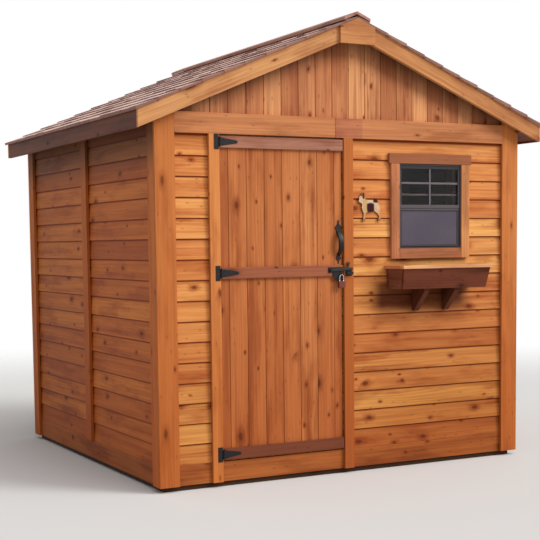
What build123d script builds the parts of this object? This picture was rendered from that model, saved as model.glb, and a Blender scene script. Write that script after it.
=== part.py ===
"""A cedar panel-kit garden shed with a gable roof, one ledged door, one window and a flower box.

Millimetres, +Z up, +X to the right of the front wall, the front faces -Y.
The origin is on the ground, under the middle of the shed.
"""

import os
from math import atan2, cos, degrees, radians, sin, sqrt, tan

from build123d import *

# Driving dimensions: the walls
left_bay = 370.0  # left cladding corner to the door opening
door_open_w = 804.0
middle_bay = 392.5  # door opening to the window opening
window_w = 457.0
right_bay = 416.5  # window opening to the right cladding corner
house_d = 2270.0  # front cladding face to back cladding face
cladding_t = 18.0  # cladding boards at their thick lower edge
lap_step = 8.0  # how far each course leans back behind the butt above it
exposure = 114.3  # height of one course that shows
trim_t = 19.0  # dressed one-inch boards
stud_w = 38.0  # framing, narrow face
stud_d = 64.0  # framing, deep face
fit_gap = 1.0  # joint left between boards that butt

# Driving dimensions: the floor
joist_h = 89.0
deck_t = 16.0
joist_bays = 6
skirt_clear = 30.0  # ground to the skirt board
skirt_w = 114.0

# Driving dimensions: the roof
pitch = 5.0 / 12.0  # rise over run
eave_out = 120.0  # corner board face to eave fascia face
rake_out = 90.0  # front cladding face to rake fascia face
eave_z = 1990.0  # ground to the lowest corner of the fascia
fascia_w = 89.0
roof_deck_t = 12.0
rafter_d = 64.0
rafter_bays = 4
soffit_t = 10.0
ridge_h = 100.0
shingle_exposure = 140.0
shingle_butt = 20.0  # stacked thickness at the butt of a course
shingle_head = 12.0  # stacked thickness where a course runs under the next
shingle_over = 14.0  # how far the shingles pass the fascias
cap_w = 95.0
cap_t = 16.0
plate_w = 235.0  # board over the peak joint

# Driving dimensions: the trim
corner_w = 120.0
side_trim_w = 89.0
jamb_w = 64.0
band_z = 1978.0
band_w = 114.0
band_joint_x = -101.0
gable_lap = 7.0  # how far the band covers the joint below it

# Driving dimensions: the door
door_top_z = 1973.0
door_sill_gap = 5.0
hinge_gap = 5.0
lock_gap = 7.0
door_board_t = 16.0
door_board_w = 114.3
door_seam = 3.0  # width of the groove between two door boards
door_seam_d = 2.5
batten_w = 64.0
batten_t = 16.0
batten_mid_z = 1208.0
batten_end_gap = 6.0
stop_lap = 12.0
stop_clear = 5.0
ledge_side_gap = 8.0
ledge_lift = 12.0

# Driving dimensions: the hinges
pin_r = 3.0
knuckle_r = 6.0
hinge_t = 2.5
leaf_w = 29.0
leaf_h = 84.0
knuckle_h = 50.0
strap_l = 95.0
strap_root = 46.0
strap_tip = 16.0
running_gap = 0.05
knuckle_gap = 0.5

# Driving dimensions: the latch and its lock
latch_z = 1212.0
latch_back = 89.0  # free edge of the door to the latch pivot
bar_l = 148.0
bar_h = 16.0
bar_t = 5.0
bar_clear = 5.0
bar_rise = 2.5  # degrees, how far the bar slopes up from its pivot at rest
knob_r = 11.0
knob_from_tip = 33.0
knob_z = 31.0  # middle of the bar to the middle of the knob
knob_bevel = 3.7
catch_w = 44.0
catch_seat = 24.5  # height of the pivot over the seat of the hook
catch_top = 12.0
catch_lip = 13.0
catch_wall = 3.0
catch_back = 6.7  # edge of the jamb to the hook
hasp_w = 68.0
hasp_h = 62.0
hasp_flat = 0.7  # share of the hasp's width that its lower edge takes up
eye_drop = 28.0  # pivot to the middle of the eye
eye_back = 20.0  # free edge of the door to the eye
eye_wall = 3.0
eye_r = 5.0
shackle_t = 5.0
shackle_span = 26.0
shackle_leg = 22.0
eye_sag = 1.5  # middle of the eye to the middle of the shackle that rests in it
lock_w = 42.0
lock_h = 40.0
lock_t = 17.0

# Driving dimensions: the pull handle
pull_z = 1376.0
pull_h = 260.0
pull_back = 25.0  # free edge of the door to the handle's middle
pull_plate_t = 4.0
upper_plate_w = 46.0
upper_plate_h = 71.0
lower_plate_w = 36.0
lower_plate_h = 54.0
plate_clear = 0.8  # share of each plate that stands clear of the grip
grip_w = 32.0  # widest part of the grip
grip_neck_w = 22.0
grip_foot_w = 16.0
grip_t = 11.0
grip_out = 42.0
grip_root = 18.0

# Driving dimensions: the window
window_h = 508.0
window_drop = 78.0  # gable band to the trim over the window
window_trim_w = 60.0
window_head_over = 14.0
frame_w = 8.0
frame_d = 58.0
frame_set = 8.0  # face of the trim to the face of the frame
sash_w = 12.0  # upright members of a sash
sash_rail = 20.0
sash_t = 18.0
sash_gap = 2.0
glass_t = 4.0

# Driving dimensions: the flower box
planter_past = 87.5  # how far each end stands past the window opening, at its top
planter_h = 121.0
planter_drop = 39.0  # window trim to the rim of the box
planter_out = 193.0  # wall to the front board's face at its top
planter_lean = 33.0  # how far the front board leans in at its foot
planter_taper = 10.0  # how much each end draws in at its foot
rim_w = 42.0
rim_over = 12.0  # how far the rim stands out past the boards below it
bracket_t = 38.0
bracket_l = 130.0
bracket_h = 138.0
bracket_span = 222.0

# Driving dimensions: the ornament
dog_from_jamb = 114.0  # right edge of the door trim to the middle of the dog
dog_z = 1498.0
dog_t = 7.0

# Places worked out from the sizes above
house_w = left_bay + door_open_w + middle_bay + window_w + right_bay
front_y = -house_d / 2
back_y = house_d / 2
side_x = house_w / 2
stud_x = side_x - cladding_t
stud_y = back_y - cladding_t
inner_x = stud_x - stud_d
inner_y = stud_y - stud_d
trim_x = side_x + trim_t
trim_y = back_y + trim_t
deck_z = joist_h + deck_t
plate_z = deck_z + stud_w
skirt_z = skirt_clear + skirt_w
slope = atan2(pitch, 1.0)
upright = 1.0 / cos(slope)  # height of a sloping board for each unit of its depth
eave_x = trim_x + eave_out
rake_y = back_y + rake_out
fascia_x = eave_x - trim_t
fascia_y = rake_y - trim_t
deck_under = roof_deck_t * upright
rafter_under = (roof_deck_t + rafter_d) * upright
soffit_under = (roof_deck_t + rafter_d + soffit_t) * upright
fascia_drop = fascia_w * upright
gable_z = band_z + gable_lap
door_x0 = -side_x + left_bay
door_x1 = door_x0 + door_open_w
leaf_x0 = door_x0 + hinge_gap
leaf_x1 = door_x1 - lock_gap
door_z0 = skirt_z + door_sill_gap
board_y0 = front_y + cladding_t - stop_clear - door_board_t
board_y1 = board_y0 + door_board_t
batten_y0 = board_y0 - batten_t
window_x0 = door_x1 + middle_bay
window_x1 = window_x0 + window_w
window_x = (window_x0 + window_x1) / 2
window_z1 = band_z - window_drop - window_trim_w - fit_gap
window_z = window_z1 - window_h
planter_top_z = window_z - window_trim_w - planter_drop - trim_t
planter_foot_z = planter_top_z - planter_h
dog_x = door_x1 + jamb_w + dog_from_jamb
pin_x = (door_x0 + leaf_x0) / 2
pin_y = batten_y0 - knuckle_r

LOW = (Align.MIN, Align.MIN, Align.MIN)


def roof_z(x, under=0.0):
    """Height of the roof deck's upper face over x, or of a face that much below it."""
    return eave_z + fascia_drop + (eave_x - abs(x)) * pitch - under


def slab(x0, x1, y0, y1, z0, z1, mode=Mode.ADD):
    """A square-cut board between two corners."""
    with Locations((x0, y0, z0)):
        Box(x1 - x0, y1 - y0, z1 - z0, align=LOW, mode=mode)


def along_y(points, y0, y1, mode=Mode.ADD):
    """A board with an outline of x, z points, from y0 back to y1."""
    with BuildSketch(Plane.XZ.offset(-y0)) as outline:
        with BuildLine():
            Polyline(*points, close=True)
        make_face()
    extrude(outline.sketch, amount=y0 - y1, mode=mode)


def along_x(points, x0, x1, mode=Mode.ADD):
    """A board with an outline of y, z points, from x0 to x1."""
    with BuildSketch(Plane.YZ.offset(x0)) as outline:
        with BuildLine():
            Polyline(*points, close=True)
        make_face()
    extrude(outline.sketch, amount=x1 - x0, mode=mode)


def spread(low, high, bays):
    """Evenly spaced places from low to high."""
    return [low + (high - low) * i / bays for i in range(bays + 1)]


def lap_depth(z):
    """How far the lapped cladding lies behind its face at a height."""
    return lap_step * (((z - skirt_z) / exposure) % 1.0)


def lap_outline(low, high):
    """Outline of lapped cladding as depth, height points: each course leans back up to the next butt."""
    points = [(cladding_t, low), (lap_depth(low), low)]
    first = int((low - skirt_z) // exposure) + 1
    last = int((high - skirt_z) // exposure)
    for course in range(first, last + 1):
        butt = skirt_z + course * exposure
        if low + fit_gap < butt < high - fit_gap:
            points += [(lap_step, butt), (0.0, butt)]
    return points + [(lap_depth(high), high), (cladding_t, high)]


def front_laps(x0, x1, low, high):
    """Lapped cladding on the front wall."""
    along_x([(front_y + depth, z) for depth, z in lap_outline(low, high)], x0, x1)


def finish(part, name):
    """Label a finished piece and write its file."""
    part.part.label = name
    export_step(part.part, f"parts/{name}.step")


os.makedirs("parts", exist_ok=True)

# Floor frame: two rims across, joists between them
with BuildPart() as floor_rims:
    slab(-stud_x, stud_x, -stud_y, -stud_y + stud_w, 0, joist_h)
    slab(-stud_x, stud_x, stud_y - stud_w, stud_y, 0, joist_h)
finish(floor_rims, "floor_rims")

with BuildPart() as floor_joists:
    for x in spread(-stud_x, stud_x - stud_w, joist_bays):
        slab(x, x + stud_w, -stud_y + stud_w, stud_y - stud_w, 0, joist_h)
finish(floor_joists, "floor_joists")

with BuildPart() as floor_deck:
    slab(-stud_x, stud_x, -stud_y, stud_y, joist_h, deck_z)
finish(floor_deck, "floor_deck")

# Skirt boards close the floor frame all round
with BuildPart() as skirts:
    slab(-side_x, side_x, front_y, -stud_y, skirt_clear, skirt_z)
    slab(-side_x, side_x, stud_y, back_y, skirt_clear, skirt_z)
    for x0 in (-side_x, stud_x):
        slab(x0, x0 + cladding_t, -stud_y + fit_gap, stud_y - fit_gap, skirt_clear, skirt_z)
finish(skirts, "skirts")

# Wall frames: side walls run through, end walls stand between them, top plates bevelled to the rafters
top_plate_z = roof_z(stud_x, rafter_under) - stud_w
with BuildPart() as wall_plates:
    for x0 in (-stud_x, inner_x):
        slab(x0, x0 + stud_d, -stud_y, stud_y, deck_z, plate_z)
    for y0 in (-stud_y, inner_y):
        slab(-inner_x + fit_gap, inner_x - fit_gap, y0, y0 + stud_d, deck_z, plate_z)
    for side in (-1, 1):
        bevel = [(inner_x, top_plate_z), (stud_x, top_plate_z)]
        bevel += [(x, roof_z(x, rafter_under)) for x in (stud_x, inner_x)]
        along_y([(side * x, z) for x, z in bevel], -stud_y, stud_y)
    for y0 in (-stud_y, inner_y):
        slab(-inner_x + fit_gap, inner_x - fit_gap, y0, y0 + stud_d, top_plate_z, top_plate_z + stud_w)
finish(wall_plates, "wall_plates")

stud_left = door_x0 + stop_lap - stud_w
stud_right = door_x1 - stop_lap
header_z = door_top_z - stop_lap - fit_gap
end_stud_x = inner_x - fit_gap - stud_w
with BuildPart() as wall_studs:
    for x0 in (-stud_x, inner_x):
        for y0 in spread(-stud_y, stud_y - stud_w, rafter_bays):
            slab(x0, x0 + stud_d, y0, y0 + stud_w, plate_z, top_plate_z)
    for x0 in (-end_stud_x - stud_w, stud_left, stud_right, window_x0 - stud_w, window_x1, end_stud_x):
        slab(x0, x0 + stud_w, -stud_y, -inner_y, plate_z, top_plate_z)
    for x0 in spread(-end_stud_x - stud_w, end_stud_x, rafter_bays):
        slab(x0, x0 + stud_w, inner_y, stud_y, plate_z, top_plate_z)
finish(wall_studs, "wall_studs")

# Header over the door, rails over and under the window
with BuildPart() as wall_headers:
    slab(stud_left + stud_w, stud_right, -stud_y, -inner_y, header_z, top_plate_z)
    slab(window_x0, window_x1, -stud_y, -inner_y, window_z1, window_z1 + stud_w)
    slab(window_x0, window_x1, -stud_y, -inner_y, window_z - stud_w, window_z)
finish(wall_headers, "wall_headers")

# Lapped cladding, one panel a wall, split beside and over the openings
side_lap_top = roof_z(side_x, rafter_under)
with BuildPart() as side_cladding:
    for side in (-1, 1):
        outline = [(side * (side_x - depth), z) for depth, z in lap_outline(skirt_z, side_lap_top)]
        along_y(outline, -stud_y, stud_y)
finish(side_cladding, "side_cladding")

with BuildPart() as back_cladding:
    along_x([(back_y - depth, z) for depth, z in lap_outline(skirt_z, gable_z)], -side_x, side_x)
finish(back_cladding, "back_cladding")

with BuildPart() as front_cladding:
    front_laps(-side_x, door_x0, skirt_z, gable_z)
    front_laps(door_x1, window_x0, skirt_z, gable_z)
    front_laps(window_x1, side_x, skirt_z, gable_z)
finish(front_cladding, "front_cladding")

with BuildPart() as window_cladding:
    front_laps(window_x0, window_x1, skirt_z, window_z)
    front_laps(window_x0, window_x1, window_z1, gable_z)
finish(window_cladding, "window_cladding")

# Gable walls of upright boards, notched at the peak for the ridge board
ridge_top = roof_z(trim_t / 2, deck_under)
ridge_foot = ridge_top - ridge_h
notch_x = trim_t / 2 + fit_gap
with BuildPart() as gable_walls:
    for y0 in (front_y, stud_y):
        outline = [(-side_x, gable_z), (side_x, gable_z), (side_x, roof_z(side_x, deck_under))]
        outline += [(notch_x, roof_z(notch_x, deck_under)), (notch_x, ridge_foot), (-notch_x, ridge_foot)]
        outline += [(-notch_x, roof_z(notch_x, deck_under)), (-side_x, roof_z(side_x, deck_under))]
        along_y(outline, y0, y0 + cladding_t)
finish(gable_walls, "gable_walls")

# Trim boards over the corners, joints and openings
with BuildPart() as corner_boards:
    for y0 in (-trim_y, back_y):
        for side in (-1, 1):
            inner = trim_x - corner_w
            outline = [(inner, skirt_clear), (trim_x, skirt_clear), (trim_x, roof_z(trim_x, soffit_under))]
            outline += [(side_x, roof_z(side_x, soffit_under)), (side_x, roof_z(side_x, deck_under))]
            outline += [(inner, roof_z(inner, deck_under))]
            along_y([(side * x, z) for x, z in outline], y0, y0 + trim_t)
finish(corner_boards, "corner_boards")

side_board = [(side_x, skirt_clear), (trim_x, skirt_clear)]
side_board += [(trim_x, roof_z(trim_x, soffit_under)), (side_x, roof_z(side_x, soffit_under))]
with BuildPart() as side_corner_boards:
    for side in (-1, 1):
        for y0 in (front_y, back_y - side_trim_w):
            along_y([(side * x, z) for x, z in side_board], y0, y0 + side_trim_w)
finish(side_corner_boards, "side_corner_boards")

with BuildPart() as wall_battens:
    side_batten = [(x, max(z, skirt_z)) for x, z in side_board]
    for side in (-1, 1):
        along_y([(side * x, z) for x, z in side_batten], -side_trim_w / 2, side_trim_w / 2)
    slab(-side_trim_w / 2, side_trim_w / 2, back_y, trim_y, skirt_z, band_z)
finish(wall_battens, "wall_battens")

band_x = trim_x - corner_w
with BuildPart() as belly_bands:
    slab(-band_x, band_joint_x, -trim_y, front_y, band_z, band_z + band_w)
    slab(band_joint_x + fit_gap, band_x, -trim_y, front_y, band_z, band_z + band_w)
    slab(-band_x, band_x, back_y, trim_y, band_z, band_z + band_w)
finish(belly_bands, "belly_bands")

with BuildPart() as door_jambs:
    for x0 in (door_x0 - jamb_w, door_x1):
        slab(x0, x0 + jamb_w, -trim_y, front_y, skirt_clear, band_z)
finish(door_jambs, "door_jambs")

# Rafters in pairs: one pair over each stud pair, one behind each rake fascia
with BuildPart() as rafters:
    rafter_places = spread(-stud_y, stud_y - stud_w, rafter_bays) + [-fascia_y, fascia_y - stud_w]
    for y0 in rafter_places:
        for side in (-1, 1):
            ends = (trim_t / 2, fascia_x)
            outline = [(x, roof_z(x, deck_under)) for x in ends]
            outline += [(x, roof_z(x, rafter_under)) for x in reversed(ends)]
            along_y([(side * x, z) for x, z in outline], y0, y0 + stud_w)
finish(rafters, "rafters")

with BuildPart() as ridge_board:
    outline = [(-trim_t / 2, ridge_foot), (trim_t / 2, ridge_foot), (trim_t / 2, ridge_top)]
    outline += [(0, roof_z(0, deck_under)), (-trim_t / 2, ridge_top)]
    along_y(outline, -fascia_y, fascia_y)
finish(ridge_board, "ridge_board")

with BuildPart() as roof_deck:
    for side in (-1, 1):
        outline = [(fit_gap / 2, roof_z(fit_gap / 2)), (fascia_x, roof_z(fascia_x))]
        outline += [(fascia_x, roof_z(fascia_x, deck_under)), (fit_gap / 2, roof_z(fit_gap / 2, deck_under))]
        along_y([(side * x, z) for x, z in outline], -fascia_y, fascia_y)
finish(roof_deck, "roof_deck")

with BuildPart() as eave_fascias:
    for side in (-1, 1):
        outline = [(fascia_x, eave_z), (eave_x, eave_z)]
        outline += [(x, roof_z(x)) for x in (eave_x, fascia_x)]
        along_y([(side * x, z) for x, z in outline], -fascia_y, fascia_y)
finish(eave_fascias, "eave_fascias")

with BuildPart() as eave_soffits:
    for side in (-1, 1):
        outline = [(side_x, roof_z(side_x, rafter_under)), (fascia_x, roof_z(fascia_x, rafter_under))]
        outline += [(fascia_x, roof_z(fascia_x, soffit_under)), (side_x, roof_z(side_x, soffit_under))]
        along_y([(side * x, z) for x, z in outline], -fascia_y, fascia_y)
finish(eave_soffits, "eave_soffits")

with BuildPart() as rake_fascias:
    for y0 in (-rake_y, fascia_y):
        for side in (-1, 1):
            outline = [(fit_gap / 2, roof_z(fit_gap / 2)), (eave_x, roof_z(eave_x))]
            outline += [(eave_x, eave_z), (fit_gap / 2, roof_z(fit_gap / 2, fascia_drop))]
            along_y([(side * x, z) for x, z in outline], y0, y0 + trim_t)
finish(rake_fascias, "rake_fascias")

with BuildPart() as peak_plates:
    for y0 in (-rake_y - trim_t, rake_y):
        edge = plate_w / 2
        foot = roof_z(edge, fascia_drop)
        outline = [(-edge, foot), (edge, foot), (edge, roof_z(edge)), (0, roof_z(0)), (-edge, roof_z(edge))]
        along_y(outline, y0, y0 + trim_t)
finish(peak_plates, "peak_plates")

# Cedar shingles as stepped courses, thickest at each butt
shingle_y = rake_y + shingle_over
slope_l = (eave_x + shingle_over) * upright


def up_slope(distance, thickness):
    """Point that far up the roof from the shingles' lower edge and that far off the deck, as x, z."""
    x = eave_x + shingle_over - distance * cos(slope) + thickness * sin(slope)
    z = roof_z(eave_x) - shingle_over * pitch + distance * sin(slope) + thickness * cos(slope)
    return x, z


with BuildPart() as shingles:
    for side in (-1, 1):
        outline = [up_slope(0, 0)]
        course = 0.0
        while course + shingle_exposure < slope_l - cap_w / 2:
            outline += [up_slope(course, shingle_butt), up_slope(course + shingle_exposure, shingle_head)]
            course += shingle_exposure
        outline += [up_slope(course, shingle_butt)]
        outline += [(fit_gap, roof_z(fit_gap) + shingle_head * upright), (fit_gap, roof_z(fit_gap))]
        along_y([(side * x, z) for x, z in outline], -shingle_y, shingle_y)
finish(shingles, "shingles")

# Two ridge boards mitred into one cap
with BuildPart() as ridge_cap:
    cap_low = shingle_butt * upright
    cap_high = (shingle_butt + cap_t) * upright
    cap_x = cap_w * cos(slope)
    outline = [(x, roof_z(x) + cap_low) for x in (-cap_x, 0, cap_x)]
    outline += [(x, roof_z(x) + cap_high) for x in (cap_x, 0, -cap_x)]
    along_y(outline, -shingle_y, shingle_y)
finish(ridge_cap, "ridge_cap")

# Window: trim on the wall, a frame in the opening, two hung sashes
with BuildPart() as window_trim:
    trim_foot = window_z - window_trim_w
    for x0 in (window_x0 - window_trim_w, window_x1):
        slab(x0, x0 + window_trim_w, -trim_y, front_y, trim_foot, window_z1)
    head_x = window_w / 2 + window_trim_w + window_head_over
    head_z = window_z1 + fit_gap
    slab(window_x - head_x, window_x + head_x, -trim_y, front_y, head_z, head_z + window_trim_w)
    slab(window_x0 + fit_gap, window_x1 - fit_gap, -trim_y, front_y, trim_foot, window_z)
finish(window_trim, "window_trim")


def ring(x0, x1, y0, y1, z0, z1, upright_w, rail_w):
    """An upright rectangular frame with an opening through it along Y."""
    slab(x0, x1, y0, y1, z0, z1)
    slab(x0 + upright_w, x1 - upright_w, y0, y1, z0 + rail_w, z1 - rail_w, mode=Mode.SUBTRACT)


frame_y0 = -trim_y + frame_set
with BuildPart() as window_frame:
    ring(window_x0, window_x1, frame_y0, frame_y0 + frame_d, window_z, window_z1, frame_w, frame_w)
finish(window_frame, "window_frame")

sash_x0 = window_x0 + frame_w
sash_x1 = window_x1 - frame_w
sash_z0 = window_z + frame_w
sash_z1 = window_z1 - frame_w
meeting_z = (sash_z0 + sash_z1) / 2
upper_y = frame_y0 + frame_set / 2
lower_y = upper_y + sash_t + sash_gap
sashes = [(upper_y, meeting_z - sash_rail / 2, sash_z1), (lower_y, sash_z0, meeting_z + sash_rail / 2)]
with BuildPart() as window_sashes:
    for y0, z0, z1 in sashes:
        ring(sash_x0, sash_x1, y0, y0 + sash_t, z0, z1, sash_w, sash_rail)
finish(window_sashes, "window_sashes")

with BuildPart() as window_glass:
    for y0, z0, z1 in sashes:
        glass_y = y0 + (sash_t - glass_t) / 2
        slab(sash_x0 + sash_w, sash_x1 - sash_w, glass_y, glass_y + glass_t, z0 + sash_rail, z1 - sash_rail)
finish(window_glass, "window_glass")

# Flower box: boards that lean out towards the top, a floor, a rim laid flat on them, two brackets
planter_half = window_w / 2 + planter_past
planter_back = front_y - trim_t


def planter_face(z):
    """Front of the flower box at a height, on its leaning board."""
    return front_y - planter_out + planter_lean * (planter_top_z - z) / planter_h


def leaning_front(low, high, set_back):
    """Two y, z points on the front of the flower box, or that far behind it."""
    return [(planter_face(z) + set_back, z) for z in (low, high)]


with BuildPart() as planter_sides:
    foot_half = planter_half - planter_taper
    fan = [(window_x - foot_half, planter_foot_z), (window_x + foot_half, planter_foot_z)]
    fan += [(window_x + planter_half, planter_top_z), (window_x - planter_half, planter_top_z)]
    along_y(fan, front_y - planter_out, front_y)
    before = leaning_front(planter_foot_z, planter_top_z, 0.0) + [(front_y - planter_out, planter_foot_z)]
    inside = leaning_front(planter_foot_z, planter_top_z, trim_t)
    inside += [(planter_back, planter_top_z), (planter_back, planter_foot_z)]
    for wedge in (before, inside):
        along_x(wedge, window_x - planter_half, window_x + planter_half, mode=Mode.SUBTRACT)
finish(planter_sides, "planter_sides")

with BuildPart() as planter_ends:
    for side in (-1, 1):
        end = [(foot_half - trim_t, planter_foot_z), (foot_half, planter_foot_z)]
        end += [(planter_half, planter_top_z), (planter_half - trim_t, planter_top_z)]
        along_y([(window_x + side * x, z) for x, z in end], front_y - planter_out, planter_back)
    wedge = leaning_front(planter_foot_z, planter_top_z, trim_t)
    wedge += [(front_y - planter_out, planter_top_z), (front_y - planter_out, planter_foot_z)]
    along_x(wedge, window_x - planter_half, window_x + planter_half, mode=Mode.SUBTRACT)
finish(planter_ends, "planter_ends")

with BuildPart() as planter_floor:
    floor_top = planter_foot_z + trim_t
    base = leaning_front(planter_foot_z, floor_top, trim_t)
    base += [(planter_back, floor_top), (planter_back, planter_foot_z)]
    along_x(base, window_x - foot_half + trim_t, window_x + foot_half - trim_t)
finish(planter_floor, "planter_floor")

with BuildPart() as planter_rim:
    rim_half = planter_half + rim_over
    rim_y0 = front_y - planter_out - rim_over
    rim_z1 = planter_top_z + trim_t
    slab(window_x - rim_half, window_x + rim_half, rim_y0, rim_y0 + rim_w, planter_top_z, rim_z1)
    for x0 in (window_x - rim_half, window_x + rim_half - rim_w):
        slab(x0, x0 + rim_w, rim_y0 + rim_w + fit_gap, front_y, planter_top_z, rim_z1)
finish(planter_rim, "planter_rim")

with BuildPart() as planter_brackets:
    for middle in (window_x - bracket_span / 2, window_x + bracket_span / 2):
        knee = [(0, 0), (bracket_l, 0), (bracket_l, trim_t), (trim_t, bracket_h), (0, bracket_h)]
        outline = [(front_y - out, planter_foot_z - drop) for out, drop in knee]
        along_x(outline, middle - bracket_t / 2, middle + bracket_t / 2)
finish(planter_brackets, "planter_brackets")

# Ornament: the flat outline of a standing dog, facing left, from the middle of its feet
dog_outline = [
    (-73, 125), (-58, 152), (-44, 164), (-31, 166), (-27, 140), (-12, 126), (25, 124), (34, 131),
    (45, 135), (60, 122), (70, 105), (78, 88), (82, 66), (78, 49), (85, 28), (83, 0),
    (66, 0), (67, 8), (75, 27), (62, 44), (43, 58), (12, 51), (-12, 51), (-22, 43),
    (-24, 9), (-22, 0), (-41, 0), (-40, 7), (-37, 21), (-34, 43), (-41, 58), (-48, 80),
    (-44, 97), (-51, 104), (-66, 112),
]
with BuildPart() as dog_ornament:
    along_y([(dog_x + u, dog_z + v) for u, v in dog_outline], front_y - dog_t, front_y)
finish(dog_ornament, "dog_ornament")

# Door: upright boards with a groove at each joint
with BuildPart() as door_boards:
    slab(leaf_x0, leaf_x1, board_y0, board_y1, door_z0, door_top_z)
    middle = (leaf_x0 + leaf_x1) / 2
    seams = int((leaf_x1 - middle - door_seam) // door_board_w)
    for index in range(-seams, seams + 1):
        x = middle + index * door_board_w
        groove = [(x - door_seam / 2, board_y0), (x, board_y0 + door_seam_d), (x + door_seam / 2, board_y0)]
        with BuildSketch(Plane.XY.offset(door_z0)):
            with BuildLine():
                Polyline(*groove, close=True)
            make_face()
        extrude(amount=door_top_z - door_z0, mode=Mode.SUBTRACT)
finish(door_boards, "door_boards")

batten_mids = [door_z0 + batten_end_gap + batten_w / 2, batten_mid_z]
batten_mids += [door_top_z - batten_end_gap - batten_w / 2]
ledge_mids = [batten_mids[0] + ledge_lift, batten_mid_z, header_z - ledge_lift - batten_w / 2]
ledge_x0 = stud_left + stud_w + ledge_side_gap
ledge_x1 = stud_right - ledge_side_gap
with BuildPart() as door_battens:
    for z in batten_mids:
        slab(leaf_x0, leaf_x1, batten_y0, board_y0, z - batten_w / 2, z + batten_w / 2)
    for z in ledge_mids:
        slab(ledge_x0, ledge_x1, board_y1, board_y1 + batten_t, z - batten_w / 2, z + batten_w / 2)
finish(door_battens, "door_battens")

# Hinges: the jamb leaf carries the pin and the odd knuckles, the strap the even ones
knuckles = 3
knuckle_l = knuckle_h / knuckles


def knuckle_rows(z, odd):
    """Foot heights of the odd or the even knuckles of the hinge at z."""
    start = 0 if odd else 1
    return [z - knuckle_h / 2 + row * knuckle_l for row in range(start, knuckles, 2)]


with BuildPart() as hinge_leaves:
    for z in batten_mids:
        leaf_x = pin_x - knuckle_r - knuckle_gap
        slab(leaf_x - leaf_w, leaf_x, -trim_y - hinge_t, -trim_y, z - leaf_h / 2, z + leaf_h / 2)
        with Locations((pin_x, pin_y, z - knuckle_h / 2)):
            Cylinder(pin_r, knuckle_h, align=(Align.CENTER, Align.CENTER, Align.MIN))
        for foot in knuckle_rows(z, True):
            height = knuckle_l - knuckle_gap
            with Locations((pin_x, pin_y, foot + knuckle_gap / 2)):
                Cylinder(knuckle_r, height, align=(Align.CENTER, Align.CENTER, Align.MIN))
            tab_z = foot + knuckle_gap / 2
            slab(leaf_x, pin_x, -trim_y - hinge_t, -trim_y, tab_z, tab_z + height)
finish(hinge_leaves, "hinge_leaves")

with BuildPart() as hinge_straps:
    for z in batten_mids:
        strap_x = pin_x + knuckle_r + knuckle_gap
        tip_x = strap_x + strap_l
        with BuildSketch(Plane.XZ.offset(-batten_y0)):
            with BuildLine():
                root = Line((strap_x, z + strap_root / 2), (strap_x, z - strap_root / 2))
                foot_line = Line(root @ 1, (tip_x, z - strap_tip / 2))
                tip = ThreePointArc(foot_line @ 1, (tip_x + strap_tip / 2, z), (tip_x, z + strap_tip / 2))
                Line(tip @ 1, root @ 0)
            make_face()
        extrude(amount=hinge_t)
        for foot in knuckle_rows(z, False):
            height = knuckle_l - knuckle_gap
            tab_z = foot + knuckle_gap / 2
            slab(pin_x, strap_x, batten_y0 - hinge_t, batten_y0, tab_z, tab_z + height)
            with Locations((pin_x, pin_y, tab_z)):
                Cylinder(knuckle_r, height, align=(Align.CENTER, Align.CENTER, Align.MIN))
                bore = pin_r + running_gap
                Cylinder(bore, height, align=(Align.CENTER, Align.CENTER, Align.MIN), mode=Mode.SUBTRACT)
finish(hinge_straps, "hinge_straps")

# Pull handle: a bowed grip between two pointed plates
pull_x = leaf_x1 - pull_back
pull_top = pull_z + pull_h / 2
pull_foot = pull_z - pull_h / 2
grip_z1 = pull_top - upper_plate_h * plate_clear
grip_z0 = pull_foot + lower_plate_h * plate_clear
grip_mid = (grip_z0 + grip_z1) / 2
plate_shape = [(0.0, 0.0), (0.12, 0.18), (0.08, 0.32), (0.5, 0.62), (0.44, 0.76), (0.2, 1.0)]
grip_shape = [(1.0, grip_neck_w), (0.84, grip_w), (0.5, grip_w), (0.2, grip_neck_w), (0.0, grip_foot_w)]


def pointed_plate(tip_z, turn, width, height):
    """Outline of a plate of the pull handle from its tip, as x, z points."""
    right = [(pull_x + u * width, tip_z + turn * v * height) for u, v in plate_shape]
    left = [(2 * pull_x - x, z) for x, z in reversed(right[1:])]
    return right + left


with BuildPart() as pull_handle:
    with BuildSketch(Plane.YZ.offset(pull_x - grip_w / 2)):
        with BuildLine():
            outer = ThreePointArc((board_y0, grip_z1), (board_y0 - grip_out, grip_mid), (board_y0, grip_z0))
            foot = Line(outer @ 1, (board_y0, grip_z0 + grip_root))
            hollow = (board_y0 - grip_out + grip_t, grip_mid)
            inner = ThreePointArc(foot @ 1, hollow, (board_y0, grip_z1 - grip_root))
            Line(inner @ 1, outer @ 0)
        make_face()
    extrude(amount=grip_w)
    right = [(pull_x + w / 2, grip_z0 + (grip_z1 - grip_z0) * v) for v, w in grip_shape]
    left = [(2 * pull_x - x, z) for x, z in reversed(right)]
    along_y(right + left, board_y0 - grip_out, board_y0, mode=Mode.INTERSECT)
    upper = pointed_plate(pull_top, -1, upper_plate_w, upper_plate_h)
    lower = pointed_plate(pull_foot, 1, lower_plate_w, lower_plate_h)
    for outline in (upper, lower):
        along_y(outline, board_y0 - pull_plate_t, board_y0)
finish(pull_handle, "pull_handle")

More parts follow.
